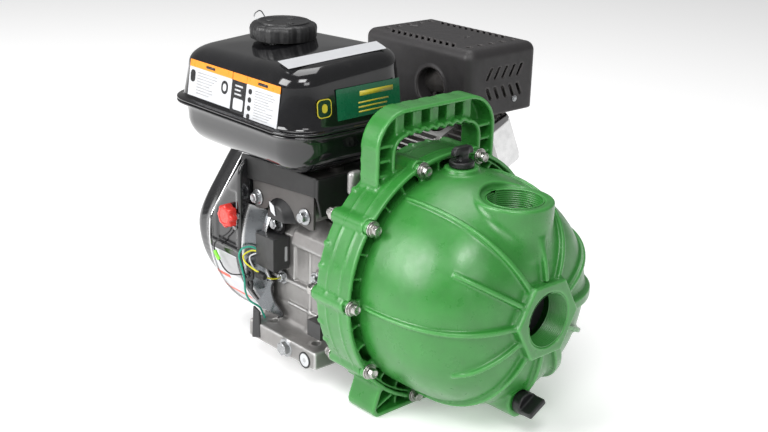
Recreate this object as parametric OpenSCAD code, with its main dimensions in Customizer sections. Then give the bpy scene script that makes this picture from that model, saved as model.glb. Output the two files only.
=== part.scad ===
// Portable engine-driven transfer pump: a moulded self-priming centrifugal pump
// bolted to a small single-cylinder petrol engine.
// The shaft runs along Y: the suction port faces -Y, the recoil starter is at +Y
// and the cylinder leans towards +X. Every part is drawn with Y measured from
// the plane where the pump casing meets the front of its mounting bracket, and
// from_port() then moves it so that the origin is the middle of the suction thread.

/* [Pump] */
// Radius of the domed casing
casing_r = 121; // [119:0.5:122]
// How far the dome reaches in front of the joint plane
casing_depth = 133; // [130:1:136]
// Wall thickness of the moulded casing
casing_wall = 6; // [5:0.5:7]
// Height of the stiffening ribs above the dome
rib_height = 4.5; // [2:0.5:6]
// Thickness of the stiffening ribs
rib_width = 3.2; // [2:0.2:5]
// Radius of the circle that the casing bolts lie on
bolt_circle_r = 131.5; // [130.5:0.5:132]
// Number of casing bolts
bolt_count = 10; // [10:1:10]
// Radius at the mouth of the two pipe threads
port_r = 28.7; // [27:0.1:29.5]
// Length of the pipe threads
port_length = 26; // [20:1:28]
// Distance from the joint plane to the suction face
suction_y = 142; // [138:1:146]
// Height of the discharge face above the shaft
discharge_z = 111; // [109:1:114]
// Distance from the joint plane to the discharge centre
discharge_y = 88; // [86:1:90]

/* [Bracket] */
// Outer radius of the bracket ring
ring_r = 136; // [135.5:0.5:137]
// Depth of the bracket ring
ring_depth = 50; // [48:1:52]
// Overall width of the carry handle
handle_width = 168; // [150:2:180]
// Height of the top of the handle above the shaft
handle_top = 184; // [180:1:190]
// Height of the foot below the shaft
foot_drop = 136; // [135.5:0.5:137]

/* [Engine] */
// Height of the shaft above the engine base
shaft_height = 106; // [104:1:108]
// Distance between the base holes across the shaft
base_hole_x = 162; // [160:1:164]
// Distance between the base holes along the shaft
base_hole_y = 75.5; // [74:0.5:77]
// Cylinder bore
bore_d = 68; // [60:1:70]
// Piston stroke
stroke = 54; // [50:1:54]
// Lean of the cylinder above the horizontal
cylinder_lean = 25; // [23:1:27]
// Radius of the fan housing
shroud_r = 118; // [116:1:120]

/* [Tank] */
// Length of the fuel tank across the shaft
tank_x = 160; // [150:1:164]
// Length of the fuel tank along the shaft
tank_y = 222; // [210:1:226]
// Height of the tank's top above the shaft
tank_top = 219; // [210:1:224]

/* [Hidden] */

$fn = 64;
eps = 0.5;                      // overshoot that makes every cut clean
gap = 0.1;                      // running clearance between turning parts
casing_ribs = 12;
casing_bolt_r = 4;
lug_depth = 6;
pocket_back = 38;
seal_ring_r = 120.4;
plate_front = 44;
shaft_r = 9.5;
journal_r = 12.5;
crank_throw = stroke / 2;
cylinder_y = 140;
deck_s = 132;
head_s = 184;
port_s = 156;
cover_s = 228;
piston_len = 30;
gear_module = 1.75;
crank_teeth = 20;
cam_teeth = 40;
cam_angle = 213;                // direction of the camshaft, from +Z towards +X
cam_distance = gear_module * (crank_teeth + cam_teeth) / 2;
base_z = -shaft_height;
rail_top = base_z + 19;
hole_front_y = 98;
hole_left_x = -96;
tank_x0 = -139;
tank_y0 = 80;
tank_seam = 155;
tank_floor = 106;
cap_x = -50;
cap_y = 215;
filler_y = 95;
choke_y = 248;
throttle_y = 213;
filler_z = -67;
filter_x = 155;
filter_z = 75;
switch_y = 220;
switch_z = 33;
strut_y = [112, 194];
strut_z = 57;
pull_angle = 25;                // direction of the starter rope, from +Z towards +X

green = [0.24, 0.60, 0.25];
cast_grey = [0.72, 0.71, 0.69];
steel = [0.75, 0.75, 0.76];
black = [0.09, 0.09, 0.10];
charcoal = [0.20, 0.19, 0.20];

function arc(c, r, a0, a1, n = 6) =
    [for (i = [0:n]) let (a = a0 + (a1 - a0) * i / n) c + r * [cos(a), sin(a)]];

function round_rect(x0, y0, x1, y1, r) = concat(
    arc([x1 - r, y1 - r], r, 0, 90), arc([x0 + r, y1 - r], r, 90, 180),
    arc([x0 + r, y0 + r], r, 180, 270), arc([x1 - r, y0 + r], r, 270, 360));

// One quarter of a superellipse, from the rim (0) to the nose (90)
function dome_points(r, h, first, last, n) =
    [for (i = [0:n]) let (t = first + (last - first) * i / n)
        [r * pow(cos(t), 2 / 3), h * pow(sin(t), 2 / 3)]];

function reversed(list) = [for (i = [len(list) - 1:-1:0]) list[i]];

module from_port() translate([0, suction_y - port_length / 2, 0]) children();

module y_cyl(y0, y1, r, x = 0, z = 0, sides = $fn)
    translate([x, y0, z]) rotate([-90, 0, 0]) cylinder(h = y1 - y0, r = r, $fn = sides);

module x_cyl(x0, x1, r, y = 0, z = 0, sides = $fn)
    translate([x0, y, z]) rotate([0, 90, 0]) cylinder(h = x1 - x0, r = r, $fn = sides);

module z_cyl(z0, z1, r, x = 0, y = 0, sides = $fn)
    translate([x, y, z0]) cylinder(h = z1 - z0, r = r, $fn = sides);

module y_tube(y0, y1, ro, ri, x = 0, z = 0)
    difference() {
        y_cyl(y0, y1, ro, x, z);
        y_cyl(y0 - eps, y1 + eps, ri, x, z);
    }

module block(x0, y0, z0, x1, y1, z1)
    translate([x0, y0, z0]) cube([x1 - x0, y1 - y0, z1 - z0]);

// Turns a profile of (radius, forward distance) about the shaft axis
module turned_forward() rotate([90, 0, 0]) rotate_extrude() children();

// Turns a profile of (radius, rearward distance) about the shaft axis
module turned_back() rotate([-90, 0, 0]) rotate_extrude() children();

// Stands a profile of (radius, forward distance) in a plane through the axis
module meridian(angle, t)
    rotate([0, angle, 0]) rotate(a = 180, v = [1, 0, 1])
        linear_extrude(height = t, center = true) children();

// Extrudes an X-Z outline along Y
module in_xz(y0, y1)
    translate([0, y1, 0]) rotate([90, 0, 0]) linear_extrude(height = y1 - y0) children();

// Extrudes a Y-Z outline along X
module in_yz(x0, x1)
    translate([x0, 0, 0]) rotate([90, 0, 90]) linear_extrude(height = x1 - x0) children();

module polar(angle, r) rotate([0, angle, 0]) translate([0, 0, r]) children();

module at_casing_bolts()
    for (i = [0:bolt_count - 1]) polar(360 / bolt_count * (i + 0.5), bolt_circle_r) children();

// Local Z runs out along the cylinder, local Y stays along the shaft
module along_cylinder()
    translate([0, cylinder_y, 0]) rotate([0, 90 - cylinder_lean, 0]) children();

module hex_bolt_y(y_head, y_end, r, head_r, head_h)
{
    y_cyl(y_head, y_head + head_h, head_r, sides = 6);
    y_cyl(y_head + head_h, y_end, r);
}

// ---------------------------------------------------------------- pump

module casing_profile()
{
    inner_r = casing_r - casing_wall;
    inner_h = casing_depth - casing_wall;
    throat_r = bolt_circle_r - 13.5;
    polygon(concat(
        [[bolt_circle_r - 0.3, -plate_front], [bolt_circle_r - 0.3, -pocket_back],
         [throat_r, -pocket_back], [throat_r, 0]],
        dome_points(casing_r, casing_depth, 4, 90, 12),
        reversed(dome_points(inner_r, inner_h, 0, 90, 12)),
        [[throat_r - casing_wall, 0], [throat_r - casing_wall, -plate_front]]));
}

module casing_rib(angle, first)
    meridian(angle, rib_width) polygon(concat(
        dome_points(casing_r + rib_height, casing_depth + rib_height, first, 76, 8),
        reversed(dome_points(casing_r - 3, casing_depth - 3, first, 76, 8))));

module casing_web(angle)
    polar(angle, 0) block(-1, 5, bolt_circle_r - 16, 1, pocket_back + 2, bolt_circle_r - 1.5);

module pump_casing() from_port() color(green)
{
    nose_r = 44;
    boss_r = 39;
    collar_y = -14;
    drain_z = -100;
    seat_y = -110;              // the flap closes against this face
    difference() {
        union() {
            turned_forward() casing_profile();
            for (i = [0:casing_ribs - 1])
                casing_rib(30 * i, i == 0 ? 60 : i % 2 == 0 ? 34 : 8);
            for (i = [0:bolt_count - 1])
                for (j = [1, 2])
                    casing_web(360 / bolt_count * (i + 0.5) + 12 * j);
            y_tube(4, pocket_back + 1, bolt_circle_r - 0.3, bolt_circle_r - 2.8);
            at_casing_bolts() {
                y_cyl(0, lug_depth, 8);
                block(-5, 0, -18, 5, lug_depth, 0);
            }
            y_cyl(-suction_y, seat_y - 1, nose_r, sides = 6);
            y_cyl(-casing_depth + 2, seat_y, 36);
            z_cyl(66, discharge_z, boss_r, 0, -discharge_y);
            z_cyl(100, 125, 18, 0, collar_y);
            y_cyl(-112, -70, 17, 0, drain_z);
            for (side = [-1, 1])
                block(side * 17 - 2, -118, 28, side * 17 + 2, -98, 40);
        }
        at_casing_bolts() {
            y_cyl(-eps, lug_depth + eps, casing_bolt_r + 0.5);
            y_cyl(lug_depth, plate_front + eps, 8.7);
        }
        y_cyl(-suction_y - eps, -suction_y + port_length, port_r);
        y_cyl(-suction_y, -80, 25);
        z_cyl(discharge_z - port_length, discharge_z + eps, port_r, 0, -discharge_y);
        z_cyl(discharge_z, discharge_z + 20, 33, 0, -discharge_y);
        z_cyl(40, discharge_z, 25, 0, -discharge_y);
        z_cyl(90, 126, 10.6, 0, collar_y);
        y_cyl(-113, -60, 8.5, 0, drain_z);
        y_cyl(-140, -112, 13.5, 0, drain_z);
        x_cyl(-20, 20, 2, -103, 36);
        y_tube(plate_front - 2.6, plate_front + eps, seal_ring_r + 1.5, seal_ring_r - 1.5);
    }
}

module handle_outline(grow = 0)
{
    half = handle_width / 2 + grow;
    polygon(concat([[half, 100], [half, 104]],
        arc([half - 38 - grow, handle_top - 38], 38 + grow, 0, 90, 8),
        arc([-half + 38 + grow, handle_top - 38], 38 + grow, 90, 180, 8),
        [[-half, 104], [-half, 100]]));
}

module handle_opening(grow = 0)
{
    half = handle_width / 2 - 25 + grow;
    top = handle_top - 29 + grow;
    polygon(concat([[half, 90]],
        arc([half - 16, top - 16], 16, 0, 90, 5),
        [for (i = [1:15]) let (x = (half - 16) * (1 - i / 8))
            [x, top + (1 - cos(i * 67.5)) * 1.6]],
        arc([-half + 16, top - 16], 16, 90, 180, 5),
        [[-half, 90]]));
}

module carry_handle()
{
    wall = 4;
    y0 = 20;
    y1 = 46;
    difference() {
        in_xz(y0, y1) handle_outline();
        in_xz(y0 - eps, y1 - wall) handle_outline(-wall);
        in_xz(y0 - eps, y1 + eps) handle_opening();
    }
    intersection() {
        difference() {
            in_xz(y0, y1) handle_outline();
            in_xz(y0 - eps, y1 + eps) handle_opening();
        }
        union() {
            difference() {
                in_xz(y0, y1) handle_opening(wall);
                in_xz(y0 - eps, y1 + eps) handle_opening();
            }
            for (x = [-48:24:48])
                block(x - 6, y0 + 8, handle_top - 40, x + 6, y1, handle_top);
            for (side = [-1, 1])
                for (z = [118, 133, 148])
                    block(side * 70 - 16, y0 + 5, z - 1.2, side * 70 + 16, y1, z + 1.2);
        }
    }
}

module bracket_foot()
{
    half = 103;
    y1 = 41;
    wall = 5;
    difference() {
        in_xz(0, y1) polygon(round_rect(-half, -foot_drop, half, -60, 9));
        in_xz(-eps, y1 - wall) polygon(round_rect(-half + wall, -foot_drop + wall, half - wall, -40, 5));
        y_cyl(-eps, ring_depth + eps, ring_r - 2);
    }
    for (side = [-1, 1])
        for (x = [74, 88])
            difference() {
                block(side * x - 1.2, 4, -foot_drop + 1, side * x + 1.2, y1 - 1, -60);
                y_cyl(-eps, ring_depth, ring_r - 2);
            }
}

module pump_bracket() from_port() color(green)
{
    difference() {
        union() {
            y_tube(0, ring_depth, ring_r, bolt_circle_r);
            y_cyl(plate_front, ring_depth, ring_r - 1);
            at_casing_bolts() y_cyl(lug_depth, ring_depth + 4, 8.5);
            y_cyl(ring_depth - 1, ring_depth + 4, 60);
            carry_handle();
            bracket_foot();
        }
        difference() {
            y_cyl(-eps, plate_front, bolt_circle_r);
            at_casing_bolts() y_cyl(lug_depth, plate_front + eps, 8.5);
        }
        at_casing_bolts() {
            y_cyl(-eps, lug_depth, 8.1);
            y_cyl(-eps, 60, casing_bolt_r + 0.5);
        }
        y_cyl(plate_front - eps, 60, 18);
        for (a = [45:90:315])
            polar(a, 46) y_cyl(plate_front - eps, 60, casing_bolt_r + 0.5);
    }
}

module casing_bolts() from_port() color(steel)
    at_casing_bolts() {
        y_cyl(-9.6, -2.6, 6.6, sides = 6);
        y_cyl(-2.6, -1.6, 8);
        y_cyl(-2, 66, casing_bolt_r);
    }

module casing_washers() from_port() color(steel)
    at_casing_bolts() {
        y_tube(-1.6, 0, 8.4, casing_bolt_r + 0.3);
        y_tube(ring_depth + 4, ring_depth + 5.6, 8.4, casing_bolt_r + 0.3);
    }

module casing_nuts() from_port() color(steel)
    at_casing_bolts() difference() {
        y_cyl(ring_depth + 5.6, ring_depth + 12, 7.2, sides = 6);
        y_cyl(ring_depth, ring_depth + 13, casing_bolt_r + gap);
    }

module casing_seal() from_port() color(black)
    turned_back() translate([seal_ring_r, plate_front - 1.3]) circle(r = 1.25);

module volute() from_port() color([0.30, 0.32, 0.34])
{
    outer = 96;
    difference() {
        union() {
            y_tube(-14, plate_front, outer, outer - 5);
            y_tube(-14, -9, outer - 1, 23);
            y_tube(-40, -13, 28, 23);
        }
        block(-30, -5, outer - 14, 34, 34, outer + 5);
    }
}

module impeller() from_port() color([0.20, 0.22, 0.24])
{
    vane_r = 78;
    difference() {
        union() {
            y_cyl(29, 34, vane_r);
            y_cyl(6, 38, 16);
            for (i = [0:4]) rotate([0, 72 * i, 0]) in_xz(8, 30) impeller_vane(vane_r);
        }
        y_cyl(10, 39, shaft_r + gap);
    }
}

// A backward-curved blade that leaves the hub and sweeps to the rim
module impeller_vane(rim)
{
    turn = 75;
    steps = 8;
    t = 2.2;
    spiral = [for (i = [0:steps]) let (f = i / steps) [14 + (rim - 15 - t) * f, turn * f]];
    polygon(concat(
        [for (p = spiral) (p[0] + t) * [cos(p[1]), sin(p[1])]],
        reversed([for (p = spiral) (p[0] - t) * [cos(p[1] + 3), sin(p[1] + 3)]])));
}

module seal_seat() from_port() color([0.92, 0.91, 0.86])
    y_tube(plate_front, 53, 17.9, 11);

module seal_rotor() from_port() color([0.15, 0.15, 0.16])
    y_tube(41, plate_front, 15, shaft_r + gap);

module seal_spring() from_port() color(steel)
    turned_back() for (i = [0:1]) translate([12.5, 38.8 + 1.5 * i]) circle(r = 0.7);

module flap_valve() from_port() color([0.12, 0.12, 0.13])
{
    difference() {
        union() {
            y_cyl(-109.5, -105.5, 30);
            block(-9, -109.5, 18, 9, -105.5, 34);
            x_cyl(-12, 12, 4.5, -103, 36);
            block(-9, -108, 29, 9, -103, 36);
        }
        x_cyl(-13, 13, 2 + gap, -103, 36);
    }
}

module flap_pin() from_port() color(steel) x_cyl(-20, 20, 2, -103, 36);

module plug_shape(shank)
{
    z_cyl(-shank, 0, 10.4);
    z_cyl(0, 6, 13);
    difference() {
        block(-12, -3.2, 5, 12, 3.2, 22);
        for (side = [-1, 1])
            translate([side * 20, 0, 20]) rotate([90, 0, 0]) cylinder(h = 10, r = 11, center = true);
    }
}

module priming_plug() from_port() color(black) translate([0, -14, 125]) plug_shape(17);

module drain_plug() from_port() color(black)
    translate([0, -112, -100]) rotate([90, 0, 0]) {
        z_cyl(-14, 0, 8.4);
        z_cyl(0, 11, 12.5);
        block(-3, -13, 10, 3, 13, 25);
    }

module bracket_bolts() from_port() color(steel)
    for (a = [45:90:315]) polar(a, 46) hex_bolt_y(38.5, 72, casing_bolt_r, 7, 5.5);

// ---------------------------------------------------------------- engine

function case_outline() = [[-84, base_z + 8], [66, base_z + 8], [80, -60], [74, -16],
    [35, 67], [-40, 67], [-84, 20]];

module crankcase() from_port() color(cast_grey)
{
    front = 80;
    back = 205;
    inset = 0.9;
    rail_half = 16;
    fin_pitch = 9;
    difference() {
        union() {
            in_xz(front, back) polygon(case_outline());
            for (x = [hole_left_x, hole_left_x + base_hole_x])
                block(x - rail_half, front, base_z, x + rail_half, back - 8, rail_top);
            in_xz(back - 8, back) polygon(round_rect(-90, base_z + 4, 84, 72, 12));
            for (y = strut_y) x_cyl(-98, -50, 8, y, strut_z);
            along_cylinder() {
                z_cyl(30, deck_s, bore_d / 2 + 9);
                for (s = [66:fin_pitch:deck_s - 1])
                    translate([0, 0, s]) linear_extrude(height = 2.5)
                        polygon(round_rect(-52, -56, 52, 56, 10));
                z_cyl(deck_s - 6, deck_s, bore_d / 2 + 14);
            }
        }
        in_xz(front - eps, back - 7) scale([inset, inset]) polygon(case_outline());
        along_cylinder() z_cyl(20, deck_s + eps, bore_d / 2);
        y_cyl(back - 10, back + eps, 26);
        polar(cam_angle, cam_distance) y_cyl(back - 8, back - 2, 6 + gap);
        for (x = [hole_left_x, hole_left_x + base_hole_x])
            for (y = [hole_front_y, hole_front_y + base_hole_y])
                z_cyl(base_z - eps, rail_top + eps, 4.5, x, y);
        x_cyl(-113, -90, 5, 129, base_z + 9);
        x_cyl(-85, -70, 11, filler_y, filler_z);
        for (y = strut_y) x_cyl(-99, -86, 4.1, y, strut_z);
    }
}

module crankcase_gasket() from_port() color(black)
    difference() {
        in_xz(79, 80) polygon(case_outline());
        in_xz(78, 81) scale([0.9, 0.9]) polygon(case_outline());
    }

module crankcase_cover() from_port() color(cast_grey)
{
    mate = ring_depth + 4;
    difference() {
        union() {
            y_cyl(mate, 70, 58);
            in_xz(68, 79) polygon(case_outline());
            y_cyl(64, 78, 36);
            for (a = [20, 75, 140, 190, 235, 285, 330])
                polar(a, a > 180 ? 82 : 66) y_cyl(65, 78, 8);
        }
        y_cyl(62, 81, 26);
        y_cyl(mate - eps, 81, journal_r + 1);
        for (a = [45:90:315]) polar(a, 46) y_cyl(mate - eps, 74, casing_bolt_r + gap);
    }
}

module spur_gear(teeth, y0, y1)
{
    pitch_r = gear_module * teeth / 2;
    step = 360 / teeth;
    root = pitch_r - 1.15 * gear_module;
    tip = pitch_r + 0.85 * gear_module;
    in_xz(y0, y1) polygon([for (i = [0:teeth - 1]) each
        [for (p = [[root, -0.27], [tip, -0.10], [tip, 0.10], [root, 0.27]])
            let (a = 90 - step * (i + p[1])) p[0] * [cos(a), sin(a)]]]);
}

module crankshaft() from_port() color(steel)
{
    difference() {
        union() {
            y_cyl(10, 62, shaft_r);
            y_cyl(62, 118, journal_r);
            y_cyl(162, 236, journal_r);
            y_cyl(236, 254, 8);
            y_cyl(247, 253, 13, sides = 6);
        }
        y_cyl(9, 24, 3);
    }
    for (y = [118, 152])
        y_cyl(y, y + 10, 42);
    y_cyl(128, 152, 14, crank_throw * cos(cylinder_lean), crank_throw * sin(cylinder_lean));
    rotate([0, cam_angle, 0]) spur_gear(crank_teeth, 84, 94);
}

module camshaft() from_port() color(steel)
    polar(cam_angle, cam_distance) {
        y_cyl(81, 202, 6);
        rotate([0, 180 + 180 / cam_teeth, 0]) spur_gear(cam_teeth, 84, 94);
        for (lobe = [[98, 20], [108, 130]])
            rotate([0, lobe[1], 0]) {
                y_cyl(lobe[0], lobe[0] + 8, 8);
                y_cyl(lobe[0], lobe[0] + 8, 5, 0, 6);
            }
    }

module crank_bearings() from_port() color(steel)
{
    y_tube(63, 79, 25.95, journal_r + gap);
    y_tube(195, 204, 25.95, journal_r + gap);
}

module piston() from_port() color([0.80, 0.80, 0.80])
    along_cylinder() difference() {
        z_cyl(deck_s - 3 - piston_len, deck_s - 3, bore_d / 2 - gap);
        z_cyl(deck_s - 4 - piston_len, deck_s - 11, bore_d / 2 - 5);
        rotate([90, 0, 0]) translate([0, 111, -40]) cylinder(h = 80, r = 7.1);
        for (s = [deck_s - 7, deck_s - 11])
            difference() {
                z_cyl(s, s + 1.5, bore_d / 2 + 1);
                z_cyl(s - eps, s + 2, bore_d / 2 - 2);
            }
    }

module wrist_pin() from_port() color(steel)
    along_cylinder() rotate([90, 0, 0]) translate([0, 111, -28]) difference() {
        cylinder(h = 56, r = 7);
        translate([0, 0, -eps]) cylinder(h = 58, r = 4);
    }

module cylinder_head() from_port() color(cast_grey)
    along_cylinder() difference() {
        union() {
            translate([0, 0, deck_s]) linear_extrude(height = head_s - deck_s)
                polygon(round_rect(-36, -46, 36, 46, 8));
            for (s = [deck_s:9:head_s - 8])
                translate([0, 0, s]) linear_extrude(height = 2.5)
                    polygon(round_rect(-50, -56, 50, 56, 10));
            block(-52, -19, port_s - 17, -30, 19, port_s + 17);
            block(-19, 30, port_s - 17, 19, 56, port_s + 17);
            translate([0, 0, head_s - 6]) linear_extrude(height = 6)
                polygon(round_rect(-46, -52, 46, 52, 12));
        }
        z_cyl(deck_s - eps, deck_s + 14, 28);
        translate([-20, 0, port_s]) rotate([0, -90, 0]) cylinder(h = 33, r = 11);
        translate([0, 20, port_s]) rotate([-90, 0, 0]) cylinder(h = 40, r = 11);
        translate([20, 0, port_s]) rotate([0, 90, 0]) cylinder(h = 32, r = 7.1);
        translate([36, 0, port_s]) rotate([0, 90, 0]) cylinder(h = 20, r = 13);
    }

module valve_cover() from_port() color([0.80, 0.80, 0.82])
    along_cylinder() difference() {
        union() {
            translate([0, 0, head_s]) linear_extrude(height = 3)
                polygon(round_rect(-46, -52, 46, 52, 12));
            translate([0, 0, head_s]) linear_extrude(height = cover_s - head_s - 5)
                polygon(round_rect(-36.5, -44, 36.5, 44, 12));
            translate([0, 0, cover_s - 5]) linear_extrude(height = 5)
                polygon(round_rect(-34, -40, 34, 40, 10));
        }
        translate([0, 0, head_s - eps]) linear_extrude(height = cover_s - head_s - 2)
            polygon(round_rect(-32, -39, 32, 39, 9));
        for (x = [-41.5, 41.5])
            for (y = [-34, 34])
                z_cyl(head_s - eps, head_s + 4, 3.2, x, y);
    }

module valve_cover_bolts() from_port() color(steel)
    along_cylinder()
        for (x = [-41.5, 41.5])
            for (y = [-34, 34]) {
                z_cyl(head_s, head_s + 3.5, 3, x, y);
                z_cyl(head_s + 3, head_s + 8, 4.5, x, y, 6);
            }

// The spark plug screws into the lower side of the head
module at_spark_plug()
    along_cylinder() translate([50, 0, port_s]) rotate([0, 90, 0]) children();

module spark_plug() from_port() color([0.93, 0.92, 0.90])
    at_spark_plug() {
        z_cyl(-30, -13.5, 7);
        z_cyl(-14, -3, 10, sides = 6);
        z_cyl(-4, 22, 5);
    }

module spark_plug_cap() from_port() color(black)
    at_spark_plug() difference() {
        union() {
            z_cyl(2, 32, 9);
            rotate([-90, 0, 0]) translate([0, -26, 0]) cylinder(h = 34, r = 7);
        }
        z_cyl(1, 23, 5.1);
    }

module flywheel() from_port() color([0.55, 0.55, 0.56])
    difference() {
        union() {
            y_cyl(212, 224, 88);
            y_tube(224, 240, 88, 78);
            y_cyl(212, 244, 22);
        }
        y_cyl(211, 237, journal_r + gap);
        y_cyl(230, 250, 8 + gap);
    }

module cooling_fan() from_port() color([0.16, 0.16, 0.17])
{
    difference() {
        y_cyl(240, 243, 92);
        y_cyl(239, 244, 24);
    }
    for (i = [0:15]) rotate([0, 22.5 * i, 0]) block(-1, 242, 50, 1, 256, 90);
}

module starter_cup() from_port() color([0.35, 0.35, 0.36])
    difference() {
        union() {
            y_cyl(244, 247, 36);
            y_tube(246, 268, 36, 33);
        }
        y_cyl(243, 248, 8 + gap);
    }

// Outline of the fan housing: a circle with a squared-off upper left corner
function shroud_outline(r, top, left) = concat(
    arc([0, 0], r, -180, 60, 20), [[52, top], [left + 22, top]],
    arc([left + 22, top - 22], 22, 90, 180, 4));

module fan_shroud() from_port() color(black)
{
    t = 2.5;
    y0 = 206;
    y1 = 262;
    difference() {
        union() {
            in_xz(y0, y1) polygon(shroud_outline(shroud_r, 102, -118));
            block(20, y0, 0, 116, y1 - 30, 98);
        }
        in_xz(y0 - eps, y1 - t) polygon(shroud_outline(shroud_r - t, 102 - t, -118 + t));
        block(20, y0 - eps, 4, 116 - t, y1 - 30 - t, 98 - t);
        y_cyl(y0, y1 + eps, 84);
        x_cyl(-120, -112, 6, switch_y, switch_z);
    }
}

module recoil_cover() from_port() color(black)
{
    y_cyl(269, 310, 7);
    difference() {
        turned_back() polygon(concat(
            [[88, 262], [110, 262], [110, 275]], arc([90, 289], 20, 0, 80, 5), [[50, 312], [0, 312],
            [0, 309], [50, 309]], reversed(arc([90, 289], 17, 0, 80, 5)), [[107, 265], [88, 265]]));
        for (i = [0:11]) rotate([0, 30 * i, 0]) translate([0, 300, 76]) rotate([-90, 0, 0])
            linear_extrude(height = 20) polygon(round_rect(-3, -11, 3, 11, 3));
        rotate([0, pull_angle, 0]) block(-5, 280, 90, 5, 290, 115);
        block(-60, 255, 105, 60, 315, 120);
    }
}

module recoil_reel() from_port() color([0.10, 0.10, 0.11])
    difference() {
        union() {
            y_cyl(274, 277, 62);
            y_cyl(277, 287, 46);
            y_cyl(287, 290, 62);
            y_cyl(268.5, 274, 20);
        }
        y_cyl(268, 291, 7.1);
        y_cyl(284, 291, 40);
    }

module recoil_spring() from_port() color([0.30, 0.32, 0.36])
    for (r = [14:5:34]) y_tube(291, 299, r + 1, r);

module starter_rope() from_port() color([0.85, 0.85, 0.82])
    rotate([0, pull_angle, 0]) z_cyl(96, 118, 1.8, 0, 285);

module starter_grip() from_port() color(black)
    rotate([0, pull_angle, 0]) {
        z_cyl(118, 123, 6, 0, 285);
        translate([-16, 278, 122]) cube([32, 14, 12]);
    }

module fan_side_plate() from_port() color([0.60, 0.62, 0.63])
    intersection() {
        turned_back() polygon([[97, 191], [100, 191], [116, 203], [116, 206], [112, 206], [97, 194]]);
        block(-130, 180, -84, -90.5, 210, 42);
    }

// A knob turned about an axis along X, with eight round lobes
module engine_switch() from_port() color([0.90, 0.25, 0.22])
    translate([0, switch_y, switch_z]) {
        x_cyl(-120, -112, 5.5);
        x_cyl(-129, -119.5, 11);
        for (i = [0:7]) rotate([45 * i, 0, 0]) x_cyl(-128, -119.5, 3.6, 9.6, 0);
    }

module oil_sensor_box() from_port() color(charcoal)
{
    block(-108, 158, -19, -86, 190, 18);
    block(-88, 168, 17, -84.2, 182, 36);
    x_cyl(-92, -87.5, 6, 175, 28, 6);
}

module oil_drain_bolt() from_port() color(steel)
{
    x_cyl(-112, -94, 4.9, 129, base_z + 9);
    x_cyl(-114, -112, 10, 129, base_z + 9);
    x_cyl(-120, -114, 8, 129, base_z + 9, 6);
}

module oil_filler_cap() from_port() color(black)
{
    x_cyl(-84, -72, 10.9, filler_y, filler_z);
    x_cyl(-90, -84, 14, filler_y, filler_z);
    block(-102, filler_y - 11, filler_z - 9, -89, filler_y + 11, filler_z + 9);
    x_cyl(-73, -66, 2.5, filler_y, filler_z);
}

// ---------------------------------------------------------------- tank

function tank_outline(inset, r) = round_rect(tank_x0 + inset, tank_y0 + inset,
    tank_x0 + tank_x - inset, tank_y0 + tank_y - inset, r);

module tank_layer(z0, z1, inset, r)
    translate([0, 0, z0]) linear_extrude(height = z1 - z0) polygon(tank_outline(inset, r));

// A crowned block whose walls round in towards the top
module tank_dome(z0, z1, crown, inset, r, steps = 5)
    hull() {
        tank_layer(z0, z0 + 1, inset, r);
        for (a = [0:90 / steps:90])
            tank_layer(z1 - crown * (1 - sin(a)) - 0.1, z1 - crown * (1 - sin(a)),
                inset + crown * (1 - cos(a)), r - crown * (1 - cos(a)) * 0.6);
    }

module tank_shell() from_port() color(black)
    difference() {
        union() {
            tank_layer(tank_seam, tank_seam + 3, -7, 40);
            tank_dome(tank_seam + 1, tank_top, 16, 0, 35);
            z_cyl(tank_top - 2, tank_top + 4, 24, cap_x, cap_y);
        }
        tank_dome(tank_seam - 2, tank_top - 2.5, 15, 2.5, 33);
        z_cyl(tank_top - 30, tank_top + 10, 20, cap_x, cap_y);
    }

module tank_pan() from_port() color(black)
    difference() {
        union() {
            tank_layer(tank_seam - 3, tank_seam, -7, 40);
            mirror([0, 0, 1]) tank_dome(-tank_seam + 1, -tank_floor, 20, 3, 33);
        }
        mirror([0, 0, 1]) tank_dome(-tank_seam - 1, -tank_floor - 2.5, 19, 5.5, 31);
    }

module fuel_cap() from_port() color(black)
{
    lobes = 12;
    difference() {
        union() {
            z_cyl(tank_top + 4, tank_top + 20, 34, cap_x, cap_y);
            for (i = [0:lobes - 1]) translate([cap_x, cap_y, 0]) rotate([0, 0, 30 * i])
                z_cyl(tank_top + 5, tank_top + 19, 6, 31, 0);
            z_cyl(tank_top + 19, tank_top + 24, 28, cap_x, cap_y);
        }
        z_cyl(tank_top + 3.9, tank_top + 10, 24.5, cap_x, cap_y);
    }
}

module fuel_strainer() from_port() color([0.85, 0.80, 0.60])
    difference() {
        union() {
            z_cyl(tank_top - 42, tank_top + 4, 19, cap_x, cap_y);
            z_cyl(tank_top + 4, tank_top + 5.5, 23, cap_x, cap_y);
        }
        z_cyl(tank_top - 40, tank_top + 6, 17.5, cap_x, cap_y);
    }

// A plate on two crankcase struts, folded over at the top to carry the tank
module tank_bracket() from_port() color([0.40, 0.39, 0.38])
{
    x1 = -98;
    t = 3;
    difference() {
        in_yz(x1 - t, x1) polygon(concat([[98, 101], [98, 46], [104, 44], [120, 46]],
            arc([153, 40], 26, 160, 20, 8), [[184, 46], [198, 44], [203, 50], [203, 101]]));
        for (y = strut_y) x_cyl(x1 - 5, x1 + 1, 4.2, y, strut_z);
    }
    block(x1 - t, 98, 98, 10, 203, 101);
    for (y = strut_y) z_cyl(100.5, tank_floor - 0.1, 9, -60, y);
}

module tank_bolts() from_port() color(steel)
    for (y = strut_y) {
        x_cyl(-107.5, -101, 6.5, y, strut_z, 6);
        x_cyl(-110, -90, 4, y, strut_z);
    }

// ---------------------------------------------------------------- fuel and air

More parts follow.
